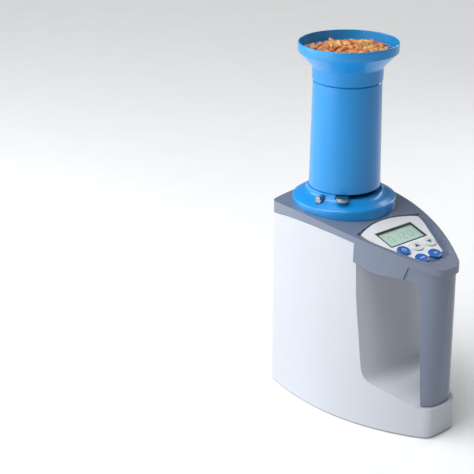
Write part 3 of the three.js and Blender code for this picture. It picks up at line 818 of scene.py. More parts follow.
@dataclass(frozen=True)
class BodyForm:
    """The housing's teardrop form: plan outline, deck curve and hand opening.

    Pairs of shares are of the half width, first at the table and then at the deck.
    """

    deck: float = 216.3
    deck_level: float = 0.149
    deck_fall: float = 0.2016
    deck_ease: float = 0.0388
    half_width: float = 60.2
    rear: float = 47.3
    length: float = 201.4
    rear_shares: Point2 = (1.016, 1.0)
    front_shares: Point2 = (0.326, 0.2324)
    swell_shares: Point2 = (0.3928, 0.3027)
    lean_shares: Point2 = (-0.0315, -0.0333)
    rear_flare: float = 0.9
    front_flare: float = 0.5
    bulge: float = 11.5
    corner: float = 6.0
    wall: float = 2.6
    opening_bulge: float = 9.0
    opening_half_width: float = 56.0
    grip_bulge: float = 9.0
    grip_half_width: float = 25.0

    def deck_height(self, y: float) -> float:
        """Height of the deck at y, level at the rear and falling towards the front."""
        u = max(0.0, (self.rear - y) / self.length - self.deck_level)
        return self.deck * (1 - self.deck_fall * u * u + self.deck_ease * u**3)

    def half_outline(self, level: float) -> list[Point2]:
        """Right half of the plan outline.

        Args:
            level: 0 at the table and 1 at the deck.

        Returns:
            The points, from the middle of the rear to the middle of the front.
        """

        def mix(shares: Point2) -> float:
            """A value at this level, from its values at the table and at the deck."""
            return shares[0] + (shares[1] - shares[0]) * level

        rear = mix(self.rear_shares) * self.half_width
        front = mix(self.front_shares) * self.half_width
        swell = mix(self.swell_shares) * self.half_width
        lean = mix(self.lean_shares) * self.half_width
        rear_y = self.rear + mix((self.rear_flare, 0))
        front_y = self.rear - self.length - mix((self.front_flare, 0))

        def side(t: float) -> Point2:
            """A place on the side; t is 0 at the rear and 1 at the front."""
            x = rear + (front - rear) * t + 4 * swell * t * (1 - t)
            return x + 8 * lean * t * (1 - t) * (1 - 2 * t), rear_y + (front_y - rear_y) * t

        def back(x: float) -> Point2:
            """A place on the bowed rear wall at x."""
            return x, rear_y + self.bulge * (1 - (x / rear) ** 1.6)

        def bend(a: Point2, b: Point2, c: Point2, steps: int) -> list[Point2]:
            """Points inside a rounded corner from a to c, drawn towards b."""
            out = []
            for i in range(1, steps):
                t = i / steps
                point = Vector(a).lerp(b, t).lerp(Vector(b).lerp(c, t), t)
                out.append((point.x, point.y))
            return out

        cut = self.corner / self.length
        nose = (front - 0.84 * self.corner, front_y - 0.9)
        points = [back((rear - self.corner) * i / 18) for i in range(19)]
        points += bend(back(rear - self.corner), (rear, rear_y), side(cut), 8)
        points += [side(cut + (1 - 2 * cut) * i / 70) for i in range(71)]
        points += bend(side(1 - cut), (front, front_y), nose, 8)
        points += [(nose[0] * (1 - i / 5), nose[1] - 0.5 * (i / 5)) for i in range(6)]
        return points

    def plan(self, level: float, inset: float) -> list[Point2]:
        """The whole plan outline, moved inwards.

        Args:
            level: 0 at the table and 1 at the deck.
            inset: How far it is moved inwards.

        Returns:
            The closed outline, anticlockwise.
        """
        right = self.half_outline(level)
        ring = right + [(-x, y) for x, y in right[-2:0:-1]]
        return grown(ring[::-1], -inset)

    def form(self, inset_low: float = 0.0, inset_high: float | None = None) -> Piece:
        """The body's outer form or a smaller one inside it, taller than the deck.

        Args:
            inset_low: How far its lower end is moved inwards.
            inset_high: The same for its upper end, if that is different.

        Returns:
            The new object.
        """
        high = inset_low if inset_high is None else inset_high
        rings = []
        for i in range(self.RINGS):
            share = i / (self.RINGS - 1)
            level = self.LEVEL_LOW + self.LEVEL_SPAN * share
            ring = self.plan(level, inset_low + (high - inset_low) * share)
            rings.append([(x, y, level * self.deck_height(y)) for x, y in ring])
        return lofted("form", rings)

    def under_deck(self, drop: float) -> Piece:
        """Everything below the deck's curve.

        Args:
            drop: How far the curve is lowered.

        Returns:
            The new object.
        """
        run = [FAR_REAR - 3 * i for i in range(91)]
        outline = [(FAR_FRONT, -30.0), (FAR_REAR, -30.0)]
        outline += [(y, self.deck_height(y) - drop) for y in run]
        return side_slab("under_deck", lambda x: outline)

    def scaled(self, points: Sequence[Point2], lift: float = 0.0) -> list[Point2]:
        """Points (y, share of the deck height) as (y, z)."""
        return [(y, share * self.deck + lift) for y, share in points]

    # Rings of the form, and the levels that they span.
    RINGS = 9
    LEVEL_LOW = -0.06
    LEVEL_SPAN = 1.18

    # Side outlines as (y, share of the deck height).
    OPENING_REAR = ((-72.5, 0.8391), (-74.2, 0.745), (-76, 0.652), (-79, 0.55), (-82, 0.451),
                    (-85.4, 0.335), (-87.4, 0.288), (-91.4, 0.257))
    OPENING_FLOOR = ((-99.4, 0.236), (-114, 0.216), (-128, 0.1905), (-137.8, 0.173),
                     (-145, 0.1615))
    OPENING_COLUMN = ((-145.4, 0.236), (-142, 0.467), (-139.6, 0.68), (-137.4, 0.752),
                      (-131, 0.796))
    CEILING = ((-122, 0.8085), (-113, 0.811), (-98, 0.808), (-87, 0.8155), (-79, 0.8275),
               (-72.5, 0.8395))
    SKIRT = ((80, 0.936), (47, 0.938), (17, 0.952), (-12, 0.9565), (-40, 0.951), (-58, 0.9425),
             (-70.3, 0.934))
    SEAM = ((-125.7, 0.8705), (-133.5, 0.8678), (-145.4, 0.8525), (-156, 0.835), (-180, 0.81))
    # How far each point of the opening's floor follows the bulge of the rear wall.
    FLOOR_SHARES = (0.86, 0.45, 0.16, 0.0, 0.0)

    def rear_bulge(self, x: float) -> float:
        """How far the opening's rear wall stands forward at x."""
        return self.opening_bulge * max(0.0, 1 - (x / self.opening_half_width) ** 2)

    def grip(self, x: float) -> float:
        """How far the handle's rear face stands rearwards at x."""
        return self.grip_bulge * max(0.0, 1 - (x / self.grip_half_width) ** 2)

    def hand_opening(self) -> Piece:
        """The space between the chamber housing and the handle.

        Returns:
            The new object.
        """

        def outline(x: float) -> list[Point2]:
            """The opening's outline (y, z) at x."""
            back = [(y - self.rear_bulge(x), z) for y, z in self.scaled(self.OPENING_REAR)]
            column = [(y + self.grip(x), z) for y, z in self.scaled(self.OPENING_COLUMN)]
            floor = [(y - self.rear_bulge(x) * share, z) for (y, z), share in
                     zip(self.scaled(self.OPENING_FLOOR), self.FLOOR_SHARES)]
            ceiling = self.scaled(self.CEILING)[:-1]
            return curve_through(back + floor, 4) + curve_through(column + ceiling, 4)

        stations = stations_across(self.opening_half_width, 41)
        return side_slab("hand_opening", outline, stations)


@dataclass
class Housing:
    """The white lower shell, the grey cover and the grey handle column."""

    shop: Workshop
    form: BodyForm
    gap: float = 0.3
    underside: float = 1.5
    foot_top: float = 34.8
    cover_front: float = -70.3
    grip_corner: float = 12.0

    def build(self, panel: "Panel") -> None:
        """Build the three mouldings.

        Args:
            panel: The display panel, for its pocket and holes.
        """
        self.lower_shell()
        self.cover(panel)
        self.column(panel)

    def lower_shell(self) -> None:
        """The white shell, with its toe under the handle."""
        form, deck = self.form, self.form.deck
        skirt = curve_through(form.scaled(form.SKIRT), 5)
        region = (
            [(FAR_FRONT, self.underside), (FAR_REAR, self.underside)]
            + skirt
            + [(self.cover_front, 0.8405 * deck)]
            + form.scaled(form.CEILING, -self.gap)[:-4:-1]
            + [(-104, 130), (-126, 60), (-138, 39.2), (-144.8, self.foot_top)]
            + [(FAR_FRONT, self.foot_top - 1.6)]
        )
        shell = combine(form.form(), [side_slab("region", lambda x: region)], "INTERSECT")
        shell = combine(shell, [form.hand_opening()])

        def hollow(x: float) -> list[Point2]:
            """Outline (y, z) of the hollow at x, clear of the opening's walls."""
            bulge = form.rear_bulge(x)
            picked = [form.OPENING_REAR[i] for i in (0, 2, 4, 5)]
            back = [(y - bulge + form.wall + 0.4, z - 2.4) for y, z in form.scaled(picked)]
            floor = form.scaled(form.OPENING_FLOOR, -form.wall - 0.5)[1:4]
            start = [(-149, -5), (80, -5), (80, deck), (-66, deck), (-69, 0.8395 * deck)]
            return start + back + [(-88, 0.225 * deck)] + floor + [(-149, self.foot_top - 6)]

        space = side_slab("hollow", hollow, stations_across(form.opening_half_width, 15))
        inside = combine(form.form(form.wall), [space], "INTERSECT")
        shell = combine(shell, [inside])
        soften(shell, 0.7, 3)
        shell.name = "housing_shell"
        self.shop.hand_in(shell, "housing", "white_shell", ["lower_housing"])

    def cover(self, panel: "Panel") -> None:
        """The grey cover with its deck, skirt and panel pocket.

        Args:
            panel: The display panel, for its pocket and holes.
        """
        form, deck = self.form, self.form.deck
        skirt = [(y - (self.gap if y < -70 else 0), z + self.gap) for y, z in
                 curve_through(form.scaled(form.SKIRT), 5)]
        region = (
            skirt[::-1]
            + [(FAR_REAR, 0.936 * deck), (FAR_REAR, 300), (FAR_FRONT, 300)]
            + form.scaled(form.SEAM, self.gap)[::-1]
            + form.scaled(form.CEILING)
            + [(self.cover_front - self.gap, 0.842 * deck)]
        )
        outer = combine(form.form(), [form.under_deck(0)], "INTERSECT")
        low = -panel.pocket_depth - panel.pocket_floor
        tray = self.tray(panel, outer, low)
        outer = combine(outer, [side_slab("region", lambda x: region)], "INTERSECT")
        soften(outer, 0.9, 4, corner=38)
        inside_region = (
            [(-160, 150), (-130, 150), (-130, 0.8195 * deck)]
            + form.scaled(form.CEILING, 2.4)[:5]
            + [(-70.6, 0.8525 * deck), (-67.7, 0.8525 * deck), (-67.7, 150), (FAR_REAR, 150)]
            + [(FAR_REAR, 300), (-160, 300)]
        )
        inside = combine(form.form(form.wall), [form.under_deck(form.wall)], "INTERSECT")
        inside = combine(inside, [side_slab("inside", lambda x: inside_region)], "INTERSECT")
        cover = combine(outer, [inside])
        cover = combine(cover, [tray], "UNION")
        cover = combine(cover, [panel.pocket(0, -panel.pocket_depth, 40), *panel.windows(low)])
        cover = combine(cover, [cylinder("mouth", 38.5, 180, 240, steps=160)])
        triangulate(cover)
        soften(cover, 0.35, 2, corner=50)
        cover.name = "deck_cover"
        self.shop.hand_in(cover, "housing", "grey_cover", ["top_cover"])

    def tray(self, panel: "Panel", outer: Piece, low: float) -> Piece:
        """The floor and walls of the panel pocket, cut to the housing's outer form.

        Args:
            panel: The display panel.
            outer: The whole housing's form below the deck, which is kept.
            low: Height of the tray's underside in the panel's frame.

        Returns:
            The new object.
        """
        copy = outer.copy()
        copy.data = outer.data.copy()
        bpy.context.collection.objects.link(copy)
        return combine(panel.pocket(self.form.wall - 0.2, low, 30), [copy], "INTERSECT")

    def column(self, panel: "Panel") -> None:
        """The handle column between the toe and the cover.

        Args:
            panel: The display panel, for its pocket.
        """
        form = self.form
        region = [
            (FAR_FRONT, self.foot_top + self.gap), (-144.8, self.foot_top + self.gap),
            (-138, 39.5), (-126, 60.2), (-122.7, 0.8085 * form.deck), *form.scaled(form.SEAM),
        ]
        grip = BodyForm(corner=self.grip_corner).form(3.2, 1.0)
        column = combine(grip, [side_slab("region", lambda x: region)], "INTERSECT")
        column = combine(column, [form.hand_opening()])

        def core_outline(x: float) -> list[Point2]:
            """Outline (y, z) of the handle's hollow at x, which follows the grip."""
            wall = form.wall + 0.4
            back = [(y + form.grip(x) - wall, z) for y, z in form.scaled(form.OPENING_COLUMN)[:3]]
            top = [(back[2][0], 178), (-110, 178), (-110, 240), (-165, 240)]
            return [(-165, 50), (back[0][0], 50), *back, *top]

        core = side_slab("core", core_outline, stations_across(26, 41))
        core = combine(form.form(6, 4), [core], "INTERSECT")
        column = combine(column, [core])
        low = -panel.pocket_depth - panel.pocket_floor - self.gap
        column = combine(column, [panel.pocket(form.wall + 0.2, low, 40)])
        soften(column, 0.7, 3, corner=38)
        column.name = "handle_grip"
        self.shop.hand_in(column, "housing", "grey_cover", ["handle_column"])


# ---------------------------------------------------------------- the display panel


@dataclass
class Key:
    """One key: its name, its place on the panel and its finish."""

    name: str
    x: float
    y: float
    finish: str


@dataclass
class Panel:
    """The silver overlay, the display and the keys, in the panel's own tilted frame."""

    shop: Workshop
    tilt: float = 16.0
    origin_y: float = -62.0
    origin_z: float = 209.6
    pocket_depth: float = 1.3
    pocket_floor: float = 2.3
    key_radius: float = 7.05
    key_rise: float = 1.4
    gap: float = 0.3
    lcd_half: float = 25.9
    lcd_rear: float = -12.0
    lcd_front: float = -37.3
    frame_width: float = 1.6

    OVERLAY = ((0.6, 3.4), (14, 2.2), (27, -1.2), (36, -4.6), (40.2, -7), (41.1, -9),
               (39.2, -18.6), (33.8, -32.2), (29.4, -43.6), (24.2, -55.6), (21, -65))
    POCKET = ((0.6, 5), (14, 3.8), (28, 0.3), (38, -3.2), (45.6, -6), (45.8, -14), (41.6, -28),
              (34.8, -44), (28.2, -58), (22.4, -69), (18.6, -74.5), (12.5, -78.5), (5, -80.4))

    def keys(self) -> list[Key]:
        """The five keys."""
        return [
            Key("key_power", -18.4, -47.2, "blue_key"), Key("key_up", 0, -47.2, "white_key"),
            Key("key_down", 18.4, -47.2, "white_key"), Key("key_select", -9.4, -64.7, "blue_key"),
            Key("key_measure", 9.4, -64.7, "blue_key"),
        ]

    def matrix(self) -> Matrix:
        """From the panel's frame to the frame about the tube's axis."""
        place = Matrix.Translation(Vector((0, self.origin_y, self.origin_z)) * MM)
        return place @ Matrix.Rotation(math.radians(self.tilt), 4, "X")

    def pocket(self, margin: float, low: float, high: float) -> Piece:
        """The pocket's form in its place.

        Args:
            margin: How far its outline is grown.
            low: Height of its underside in the panel's frame.
            high: Height of its top.

        Returns:
            The new object.
        """
        outline = both_sides(curve_through(self.POCKET, 4))
        return carry(slab("pocket", grown(outline, margin), low, high), self.matrix())

    def windows(self, low: float) -> list[Piece]:
        """Tools for the display window and the key holes through the pocket's floor.

        Args:
            low: Height of the floor's underside in the panel's frame.

        Returns:
            The new objects, in their place.
        """
        side, depth = self.lcd_half + 1.2, 2.0
        tools = [block("lcd_hole", (-side, self.lcd_front - 1.2, low - depth),
                       (side, self.lcd_rear + 1.2, depth))]
        for key in self.keys():
            tools.append(cylinder("key_hole", self.key_radius + self.gap, low - depth, depth,
                                  key.x, key.y))
        return [carry(tool, self.matrix()) for tool in tools]

    def build(self) -> None:
        """Build the overlay, the display and the keys."""
        self.overlay()
        self.display()
        for key in self.keys():
            self.key_cap(key)

    def finished(self, obj: Piece, body: str, finish: str,
                 replaces: Sequence[str] = ()) -> Piece:
        """Tilt a piece into place and hand it in; see Workshop.hand_in."""
        return self.shop.hand_in(carry(obj, self.matrix()), body, finish, replaces)

    def overlay(self) -> None:
        """The silver film plate with its window and key holes."""
        plate = slab("panel_overlay", both_sides(curve_through(self.OVERLAY, 5)), -1.0, 0)
        tools = [block("window", (-self.lcd_half - self.gap, self.lcd_front - self.gap, -5),
                       (self.lcd_half + self.gap, self.lcd_rear + self.gap, 5))]
        for key in self.keys():
            tools.append(cylinder("hole", self.key_radius + self.gap, -5, 5, key.x, key.y, 72))
        combine(plate, tools)
        soften(plate, 0.25, 2, corner=40)
        self.finished(plate, "housing", "silver_overlay", ["display_overlay"])

    def display(self) -> None:
        """The frame, near black partly as painted shade of the sunken window, the pale display with
        faint figures, and the clear window.
        """
        side, front, rear, rim = self.lcd_half, self.lcd_front, self.lcd_rear, self.frame_width
        # The frame's near-black finish is partly painted shade: it stands in for the shadow inside
        # the sunken display window.
        frame = block("lcd_frame", (-side, front, -1.9), (side, rear, -0.2))
        combine(frame, [block("hole", (-side + rim, front + rim, -5),
                              (side - rim, rear - rim, 5))])
        soften(frame, 0.3, 2)
        self.finished(frame, "housing", "lcd_frame", ["lcd_bezel"])
        cell = block("lcd_cell", (-side - 0.8, front - 0.8, -7), (side + 0.8, rear + 0.8, -2.2))
        soften(cell, 0.4, 2)
        self.finished(cell, "housing", "lcd_body", ["lcd_module"])
        window = block("lcd_cover", (-side + 1.9, front + 1.9, -1.7),
                       (side - 1.9, rear - 1.9, -0.7))
        soften(window, 0.2, 2)
        self.finished(window, "housing", "lcd_glass", ["lcd_window"])
        bars = [self.figure(-13.5 + 9 * i, -24.5, shown) for i, shown in
                enumerate(("abcdef", "bc", "abged", "abcdef"))]
        figures = join("lcd_figures", [bar for group in bars for bar in group])
        self.finished(figures, "housing", "lcd_ink")

    def figure(self, x: float, y: float, shown: str) -> list[Piece]:
        """One seven-bar figure, as thin bars on the display's face.

        Args:
            x: Place of its middle across the panel.
            y: Place of its middle along the panel.
            shown: Letters of the bars that show.

        Returns:
            The bars.
        """
        half, tall, thick, lean = 2.4, 4.4, 0.55, 0.12
        places = {
            "a": ((-half, tall), (half, tall)), "b": ((half, 0), (half, tall)),
            "c": ((half, -tall), (half, 0)), "d": ((-half, -tall), (half, -tall)),
            "e": ((-half, -tall), (-half, 0)), "f": ((-half, 0), (-half, tall)),
            "g": ((-half, 0), (half, 0)),
        }
        bars = []
        for letter in shown:
            (x0, y0), (x1, y1) = places[letter]
            a = Vector((x + x0 + lean * y0, y + y0))
            b = Vector((x + x1 + lean * y1, y + y1))
            along = (b - a).normalized()
            across = Vector((-along.y, along.x)) * thick / 2
            a, b = a + along * 0.5, b - along * 0.5
            outline = [a - across, b - across, b + along * 0.25, b + across, a + across,
                       a - along * 0.25]
            bars.append(slab("bar", [tuple(p) for p in outline], -2.19, -2.12))
        return bars

    def key_cap(self, key: Key) -> None:
        """A domed round key with its stem, and the mark on its face.

        Args:
            key: The key.
        """
        skirt = -3.0
        cap = cylinder(key.name + "_cap", self.key_radius, skirt, self.key_rise, 0, 0, 72)
        pick_level_faces(cap, 1)
        bpy.ops.mesh.inset(thickness=1.1 * MM)
        bpy.ops.transform.translate(value=(0, 0, 0.28 * MM))
        bpy.ops.mesh.inset(thickness=2.6 * MM)
        bpy.ops.transform.translate(value=(0, 0, 0.02 * MM))
        pick_level_faces(cap, -1)
        bpy.ops.mesh.inset(thickness=(self.key_radius - 2.4) * MM)
        stem = -self.pocket_depth - self.pocket_floor - 2.2
        bpy.ops.mesh.extrude_region_move(
            TRANSFORM_OT_translate={"value": (0, 0, (stem - skirt) * MM)})
        bpy.ops.object.mode_set(mode="OBJECT")
        soften(cap, 0.45, 4, corner=30, smooth=50)
        move = Matrix.Translation(Vector((key.x, key.y, 0)) * MM)
        self.finished(carry(cap, move), key.name, key.finish, [key.name])
        ink = "ink" if key.finish == "white_key" else "pale_ink"
        self.finished(carry(self.key_mark(key), move), key.name, ink)

    def key_mark(self, key: Key) -> Piece:
        """The printed mark on a key: an arrow, a ring or a bar.

        Args:
            key: The key.

        Returns:
            The new object, about the key's axis.
        """
        low, high = self.key_rise + 0.27, self.key_rise + 0.34
        name = key.name + "_mark"
        if key.name in ("key_up", "key_down"):
            turn = 1 if key.name == "key_up" else -1
            arrow = [(-3.1, -1.9), (3.1, -1.9), (0.35, 2.7), (-0.35, 2.7)]
            return slab(name, [(x * turn, y * turn) for x, y in arrow], low, high)
        if key.name == "key_power":
            angles = [i * math.tau / 40 for i in range(40)]
            outline = [(2.3 * math.cos(a), 2.3 * math.sin(a)) for a in angles]
            ring = slab(name, outline, low, high)
            return combine(ring, [cylinder("hole", 1.75, low - 1, high + 1, steps=40)])
        wide = 3.0 if key.name == "key_select" else 2.2
        return slab(name, [(-wide, -0.45), (wide, -0.45), (wide, 0.45), (-wide, 0.45)], low, high)


# ---------------------------------------------------------------- the drop tube


@dataclass
class Dropper:
    """The lift-off drop tube: flange, tube, grate, shutter, lever and release button."""

    shop: Workshop
    form: BodyForm
    flange_radius: float = 55.0
    rim: float = 6.7
    neck_height: float = 18.2
    neck_radius: float = 39.4
    bore: float = 34.2
    tube_radius: float = 38.0
    tube_top_radius: float = 35.7
    tube_wall: float = 2.4
    tube_length: float = 113.2
    collar_radius: float = 38.2
    collar_rise: float = 5.2
    skirt_drop: float = 14.0
    grate_seat: float = 7.5
    grate_bore: float = 31.0
    slot_low: float = 13.7
    gap: float = 0.3
    lever_angle: float = -136.0
    lever_width: float = 13.0
    lever_reach: float = 50.0
    button_angle: float = -168.0
    button_radius: float = 3.8
    button_rise: float = 12.7
    slot_from: float = -147.0
    slot_to: float = -41.0
    turn: float = 80.0

    @property
    def tube_bottom(self) -> float:
        """Height of the tube's lower end."""
        return self.form.deck + self.neck_height + self.gap

    def build(self) -> None:
        """Build every piece of the dropper."""
        self.flange()
        self.tube()
        self.grate_and_shutter()
        self.lever()
        self.button()

    def flange(self) -> None:
        """The flange that sits on the deck, with the shutter's slot."""
        deck, r = self.form.deck, self.flange_radius
        shoulder = curve_through([
            (r, deck + self.rim - 2.2), (r - 0.25, deck + self.rim - 1.0),
            (r - 1.1, deck + self.rim - 0.1), (r - 2.6, deck + self.rim + 0.7),
            (r - 7, deck + self.rim + 3.0), (self.neck_radius + 4.4, deck + self.neck_height - 6.9),
            (self.neck_radius + 1.4, deck + self.neck_height - 5.0),
            (self.neck_radius + 0.2, deck + self.neck_height - 2.8),
            (self.neck_radius, deck + self.neck_height - 0.5),
        ], 4)
        skirt, neck_top = deck - self.skirt_drop, deck + self.neck_height
        seat, recess = deck + self.grate_seat, deck + self.collar_rise + 0.4
        profile = [(r, skirt)] + shoulder + [
            (self.neck_radius - 0.4, neck_top), (self.bore, neck_top), (self.bore, seat),
            (self.grate_bore, seat), (self.grate_bore, recess),
            (self.collar_radius + 2.8, recess), (self.collar_radius + 2.8, skirt),
        ]
        flange = spun("tube_flange", profile)
        slot = slab("slot", sector(30, 60, self.slot_from, self.slot_to), deck + self.slot_low,
                    deck + 30)
        hole = radial_cylinder("hole", self.button_radius + self.gap, 33, 70,
                               deck + self.button_rise, self.button_angle)
        combine(flange, [self.form.under_deck(-self.gap), slot, hole])
        soften(flange, 0.5, 3, corner=40)
        self.shop.hand_in(flange, "dropper", "blue_plastic", ["flange_ring"])

    def tube(self) -> None:
        """The tapered tube, with a fine lip at each end."""
        low, top = self.tube_bottom, self.tube_bottom + self.tube_length
        r, t, w = self.tube_radius, self.tube_top_radius, self.tube_wall
        profile = [
            (r - w, low), (r - 0.5, low), (r, low + 0.6), (t + 0.05, top - 1.5),
            (t - 0.2, top - 0.8), (t - 0.9, top - 0.1), (t - 1.2, top), (t - w, top),
        ]
        tube = spun("fall_tube", profile, 192)
        soften(tube, 0.15, 2, corner=30)
        self.shop.hand_in(tube, "dropper", "blue_plastic", ["drop_tube"])

    def grate_and_shutter(self) -> None:
        """The fixed grate and the turning shutter above it, each with two windows."""
        deck = self.form.deck
        grate = self.window_plate("fall_grate", self.bore - self.gap, deck + 7.8, deck + 10.7, 0)
        self.shop.hand_in(grate, "dropper", "dark_plastic", ["drop_grate"])
        disc = self.window_plate("shutter_plate", 32, deck + 11, deck + self.slot_low, -self.turn)
        self.shop.hand_in(disc, "shutter", "electrode_steel", ["shutter_disc"])

    def window_plate(self, name: str, radius: float, low: float, high: float,
                     angle: float) -> Piece:
        """A round plate with two opposite windows and a centre hole.

        Args:
            name: Object name.
            radius: Its radius.
            low: Height of its underside.
            high: Height of its top.
            angle: Direction of the first window in degrees.

        Returns:
            The new object.
        """
        disc = cylinder(name, radius, low, high, steps=128)
        tools = [slab("window", sector(7, 28.5, angle + side - 35, angle + side + 35),
                      low - 5, high + 5) for side in (0, 180)]
        tools.append(cylinder("hole", 2.5, low - 5, high + 5, steps=48))
        return soften(combine(disc, tools), 0.3, 2, corner=40)

    def lever(self) -> None:
        """The chromed tab that turns the shutter."""
        deck, half, reach = self.form.deck, self.lever_width / 2, self.lever_reach
        tip = [(reach - 5 + 5 * math.cos(math.radians(a)), half * math.sin(math.radians(a)))
               for a in range(-90, 91, 10)]
        outline = [(12, -half)] + tip + [(12, half)]
        tab = slab("shutter_tab", outline, deck + 14, deck + 18)
        soften(tab, 0.7, 4, corner=30)
        carry(tab, Matrix.Rotation(math.radians(self.lever_angle), 4, "Z"))
        self.shop.hand_in(tab, "shutter", "chrome_part", ["shutter_lever"])

    def button(self) -> None:
        """The chromed release button, with a domed end."""
        stem = radial_cylinder("release_stem", self.button_radius, 36.5, 48,
                               self.form.deck + self.button_rise, self.button_angle)
        soften(stem, 0.9, 5, corner=30)
        self.shop.hand_in(stem, "release_button", "chrome_part", ["release_button"])


@dataclass
class Hopper:
    """The flared hopper on top of the tube, and the grain sample in it."""

    shop: Workshop
    base: float = 348.3
    height: float = 39.7
    radius: float = 51.6
    rim: float = 10.4
    neck: float = 36.6
    spigot: float = 32.8
    kernels: int = 430
    seed: int = 11

    def build(self) -> None:
        """Build the hopper and the grain."""
        self.funnel()
        self.grain()

    def funnel(self) -> None:
        """The hopper's turned form with a rounded rim."""
        z, top, r = self.base, self.base + self.height, self.radius
        outer = curve_through([
            (self.neck, z + 1.3), (self.neck + 0.1, z + 13.4), (self.neck + 0.5, z + 14.8),
            (self.neck + 2.2, z + 16.8), (r - 2.4, top - self.rim - 1.4),
            (r - 0.6, top - self.rim + 0.2), (r, top - self.rim + 1.8), (r, top - 1.2),
        ], 4)
        lip = [(r - 0.3, top - 0.4), (r - 0.9, top), (r - 1.5, top - 0.1), (r - 1.8, top - 0.7)]
        inner = [(r - 2.4, top - self.rim + 1.2), (r - 3.4, top - self.rim - 0.6),
                 (self.spigot + 1.6, z + 17.4), (self.spigot - 1, z + 13),
                 (self.spigot - 2.2, z + 9)]
        profile = [(self.spigot - 2.2, z - 12), (self.spigot, z - 12), (self.spigot, z),
                   (self.neck - 1.7, z), (self.neck - 1.0, z + 0.2), *outer, *lip, *inner]
        funnel = spun("hopper_bowl", profile, 192)
        soften(funnel, 0.2, 2, corner=40, smooth=40)
        self.shop.hand_in(funnel, "hopper", "blue_plastic", ["hopper_funnel"])

    def surface(self, radius: float, angle: float) -> float:
        """Height of the heap at a place on it.

        Args:
            radius: Distance of the place from the tube's axis.
            angle: Direction of the place in radians.

        Returns:
            The height in millimetres.
        """
        top = self.base + self.height
        heap = 4.6 * math.exp(-(((radius - 8) / 24) ** 2))
        wave = 1.3 * math.sin(3 * angle + 0.7) * (radius / 46) + 0.9 * math.sin(5 * angle + 2.1)
        return top - 10.2 + heap + wave

    def grain(self) -> None:
        """A heap of kernels, each a bent, flattened drop with its own tone."""
        rng = random.Random(self.seed)
        bed = self.bed()
        moulds = [self.kernel(rng) for _ in range(9)]
        pieces, tones = [bed], [(len(bed.data.vertices), 0.35)]
        for _ in range(self.kernels):
            angle, share = rng.uniform(0, math.tau), math.sqrt(rng.uniform(0, 1))
            level = self.surface(45.5 * share, angle) - rng.uniform(0, 3.4)
            reach = min(45.6, 31 + (level - self.base - 16) * 1.05) - 3.4
            radius = min(45.5 * share, reach)
            mould = rng.choice(moulds)
            kernel = mould.copy()
            kernel.data = mould.data.copy()
            bpy.context.collection.objects.link(kernel)
            place = Vector((radius * math.cos(angle), radius * math.sin(angle), level)) * MM
            turn = Euler((rng.uniform(-0.9, 0.9), rng.uniform(-0.9, 0.9), rng.uniform(0, math.tau)))
            carry(kernel, Matrix.Translation(place) @ turn.to_matrix().to_4x4())
            pieces.append(kernel)
            tones.append((len(kernel.data.vertices), rng.uniform(0.05, 1)))
        sample = join("grain_sample", pieces)
        for mould in moulds:
            bpy.data.objects.remove(mould)
        tone = sample.data.attributes.new("kernel_tone", "FLOAT", "POINT")
        values = [value for count, value in tones for _ in range(count)]
        tone.data.foreach_set("value", values)
        activate(sample)
        bpy.ops.object.shade_smooth()
        self.shop.hand_in(sample, "hopper", "grain")

    def bed(self) -> Piece:
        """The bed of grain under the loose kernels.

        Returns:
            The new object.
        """
        angles = [math.tau * k / 48 for k in range(48)]
        rings = []
        for i in range(1, 9):
            radius = 42.5 * i / 8
            rings.append([(radius * math.cos(a), radius * math.sin(a),
                           min(self.surface(radius, a) - 3.6, self.base + 26.5 + i * 0.2))
                          for a in angles])
        lower = [[(r * math.cos(a), r * math.sin(a), z) for a in angles]
                 for r, z in ((36, self.base + 21.5), (29, self.base + 14))]
        return lofted("grain_bed", rings + lower)

    def kernel(self, rng: random.Random) -> Piece:
        """One kernel, pointed at one end.

        Args:
            rng: Where its sizes are drawn from.

        Returns:
            The new object.
        """
        deselect()
        bpy.ops.mesh.primitive_ico_sphere_add(subdivisions=2, radius=1)
        obj = bpy.context.object
        length, width, thick = rng.uniform(4.0, 5.6), rng.uniform(3.0, 4.1), rng.uniform(1.6, 2.5)
        dent = rng.uniform(0.1, 0.5)
        for vertex in obj.data.vertices:
            x, y, z = vertex.co
            taper = 1 - 0.38 * max(0.0, -x) ** 1.5
            hollow = dent * math.exp(-((x - 0.5) ** 2 + y * y) * 4) * (1 if z > 0 else 0)
            vertex.co = Vector((x * length, y * width * taper,
                                (z - hollow) * thick * taper + 0.5 * x * x)) * MM
        return obj


# ---------------------------------------------------------------- chamber and base


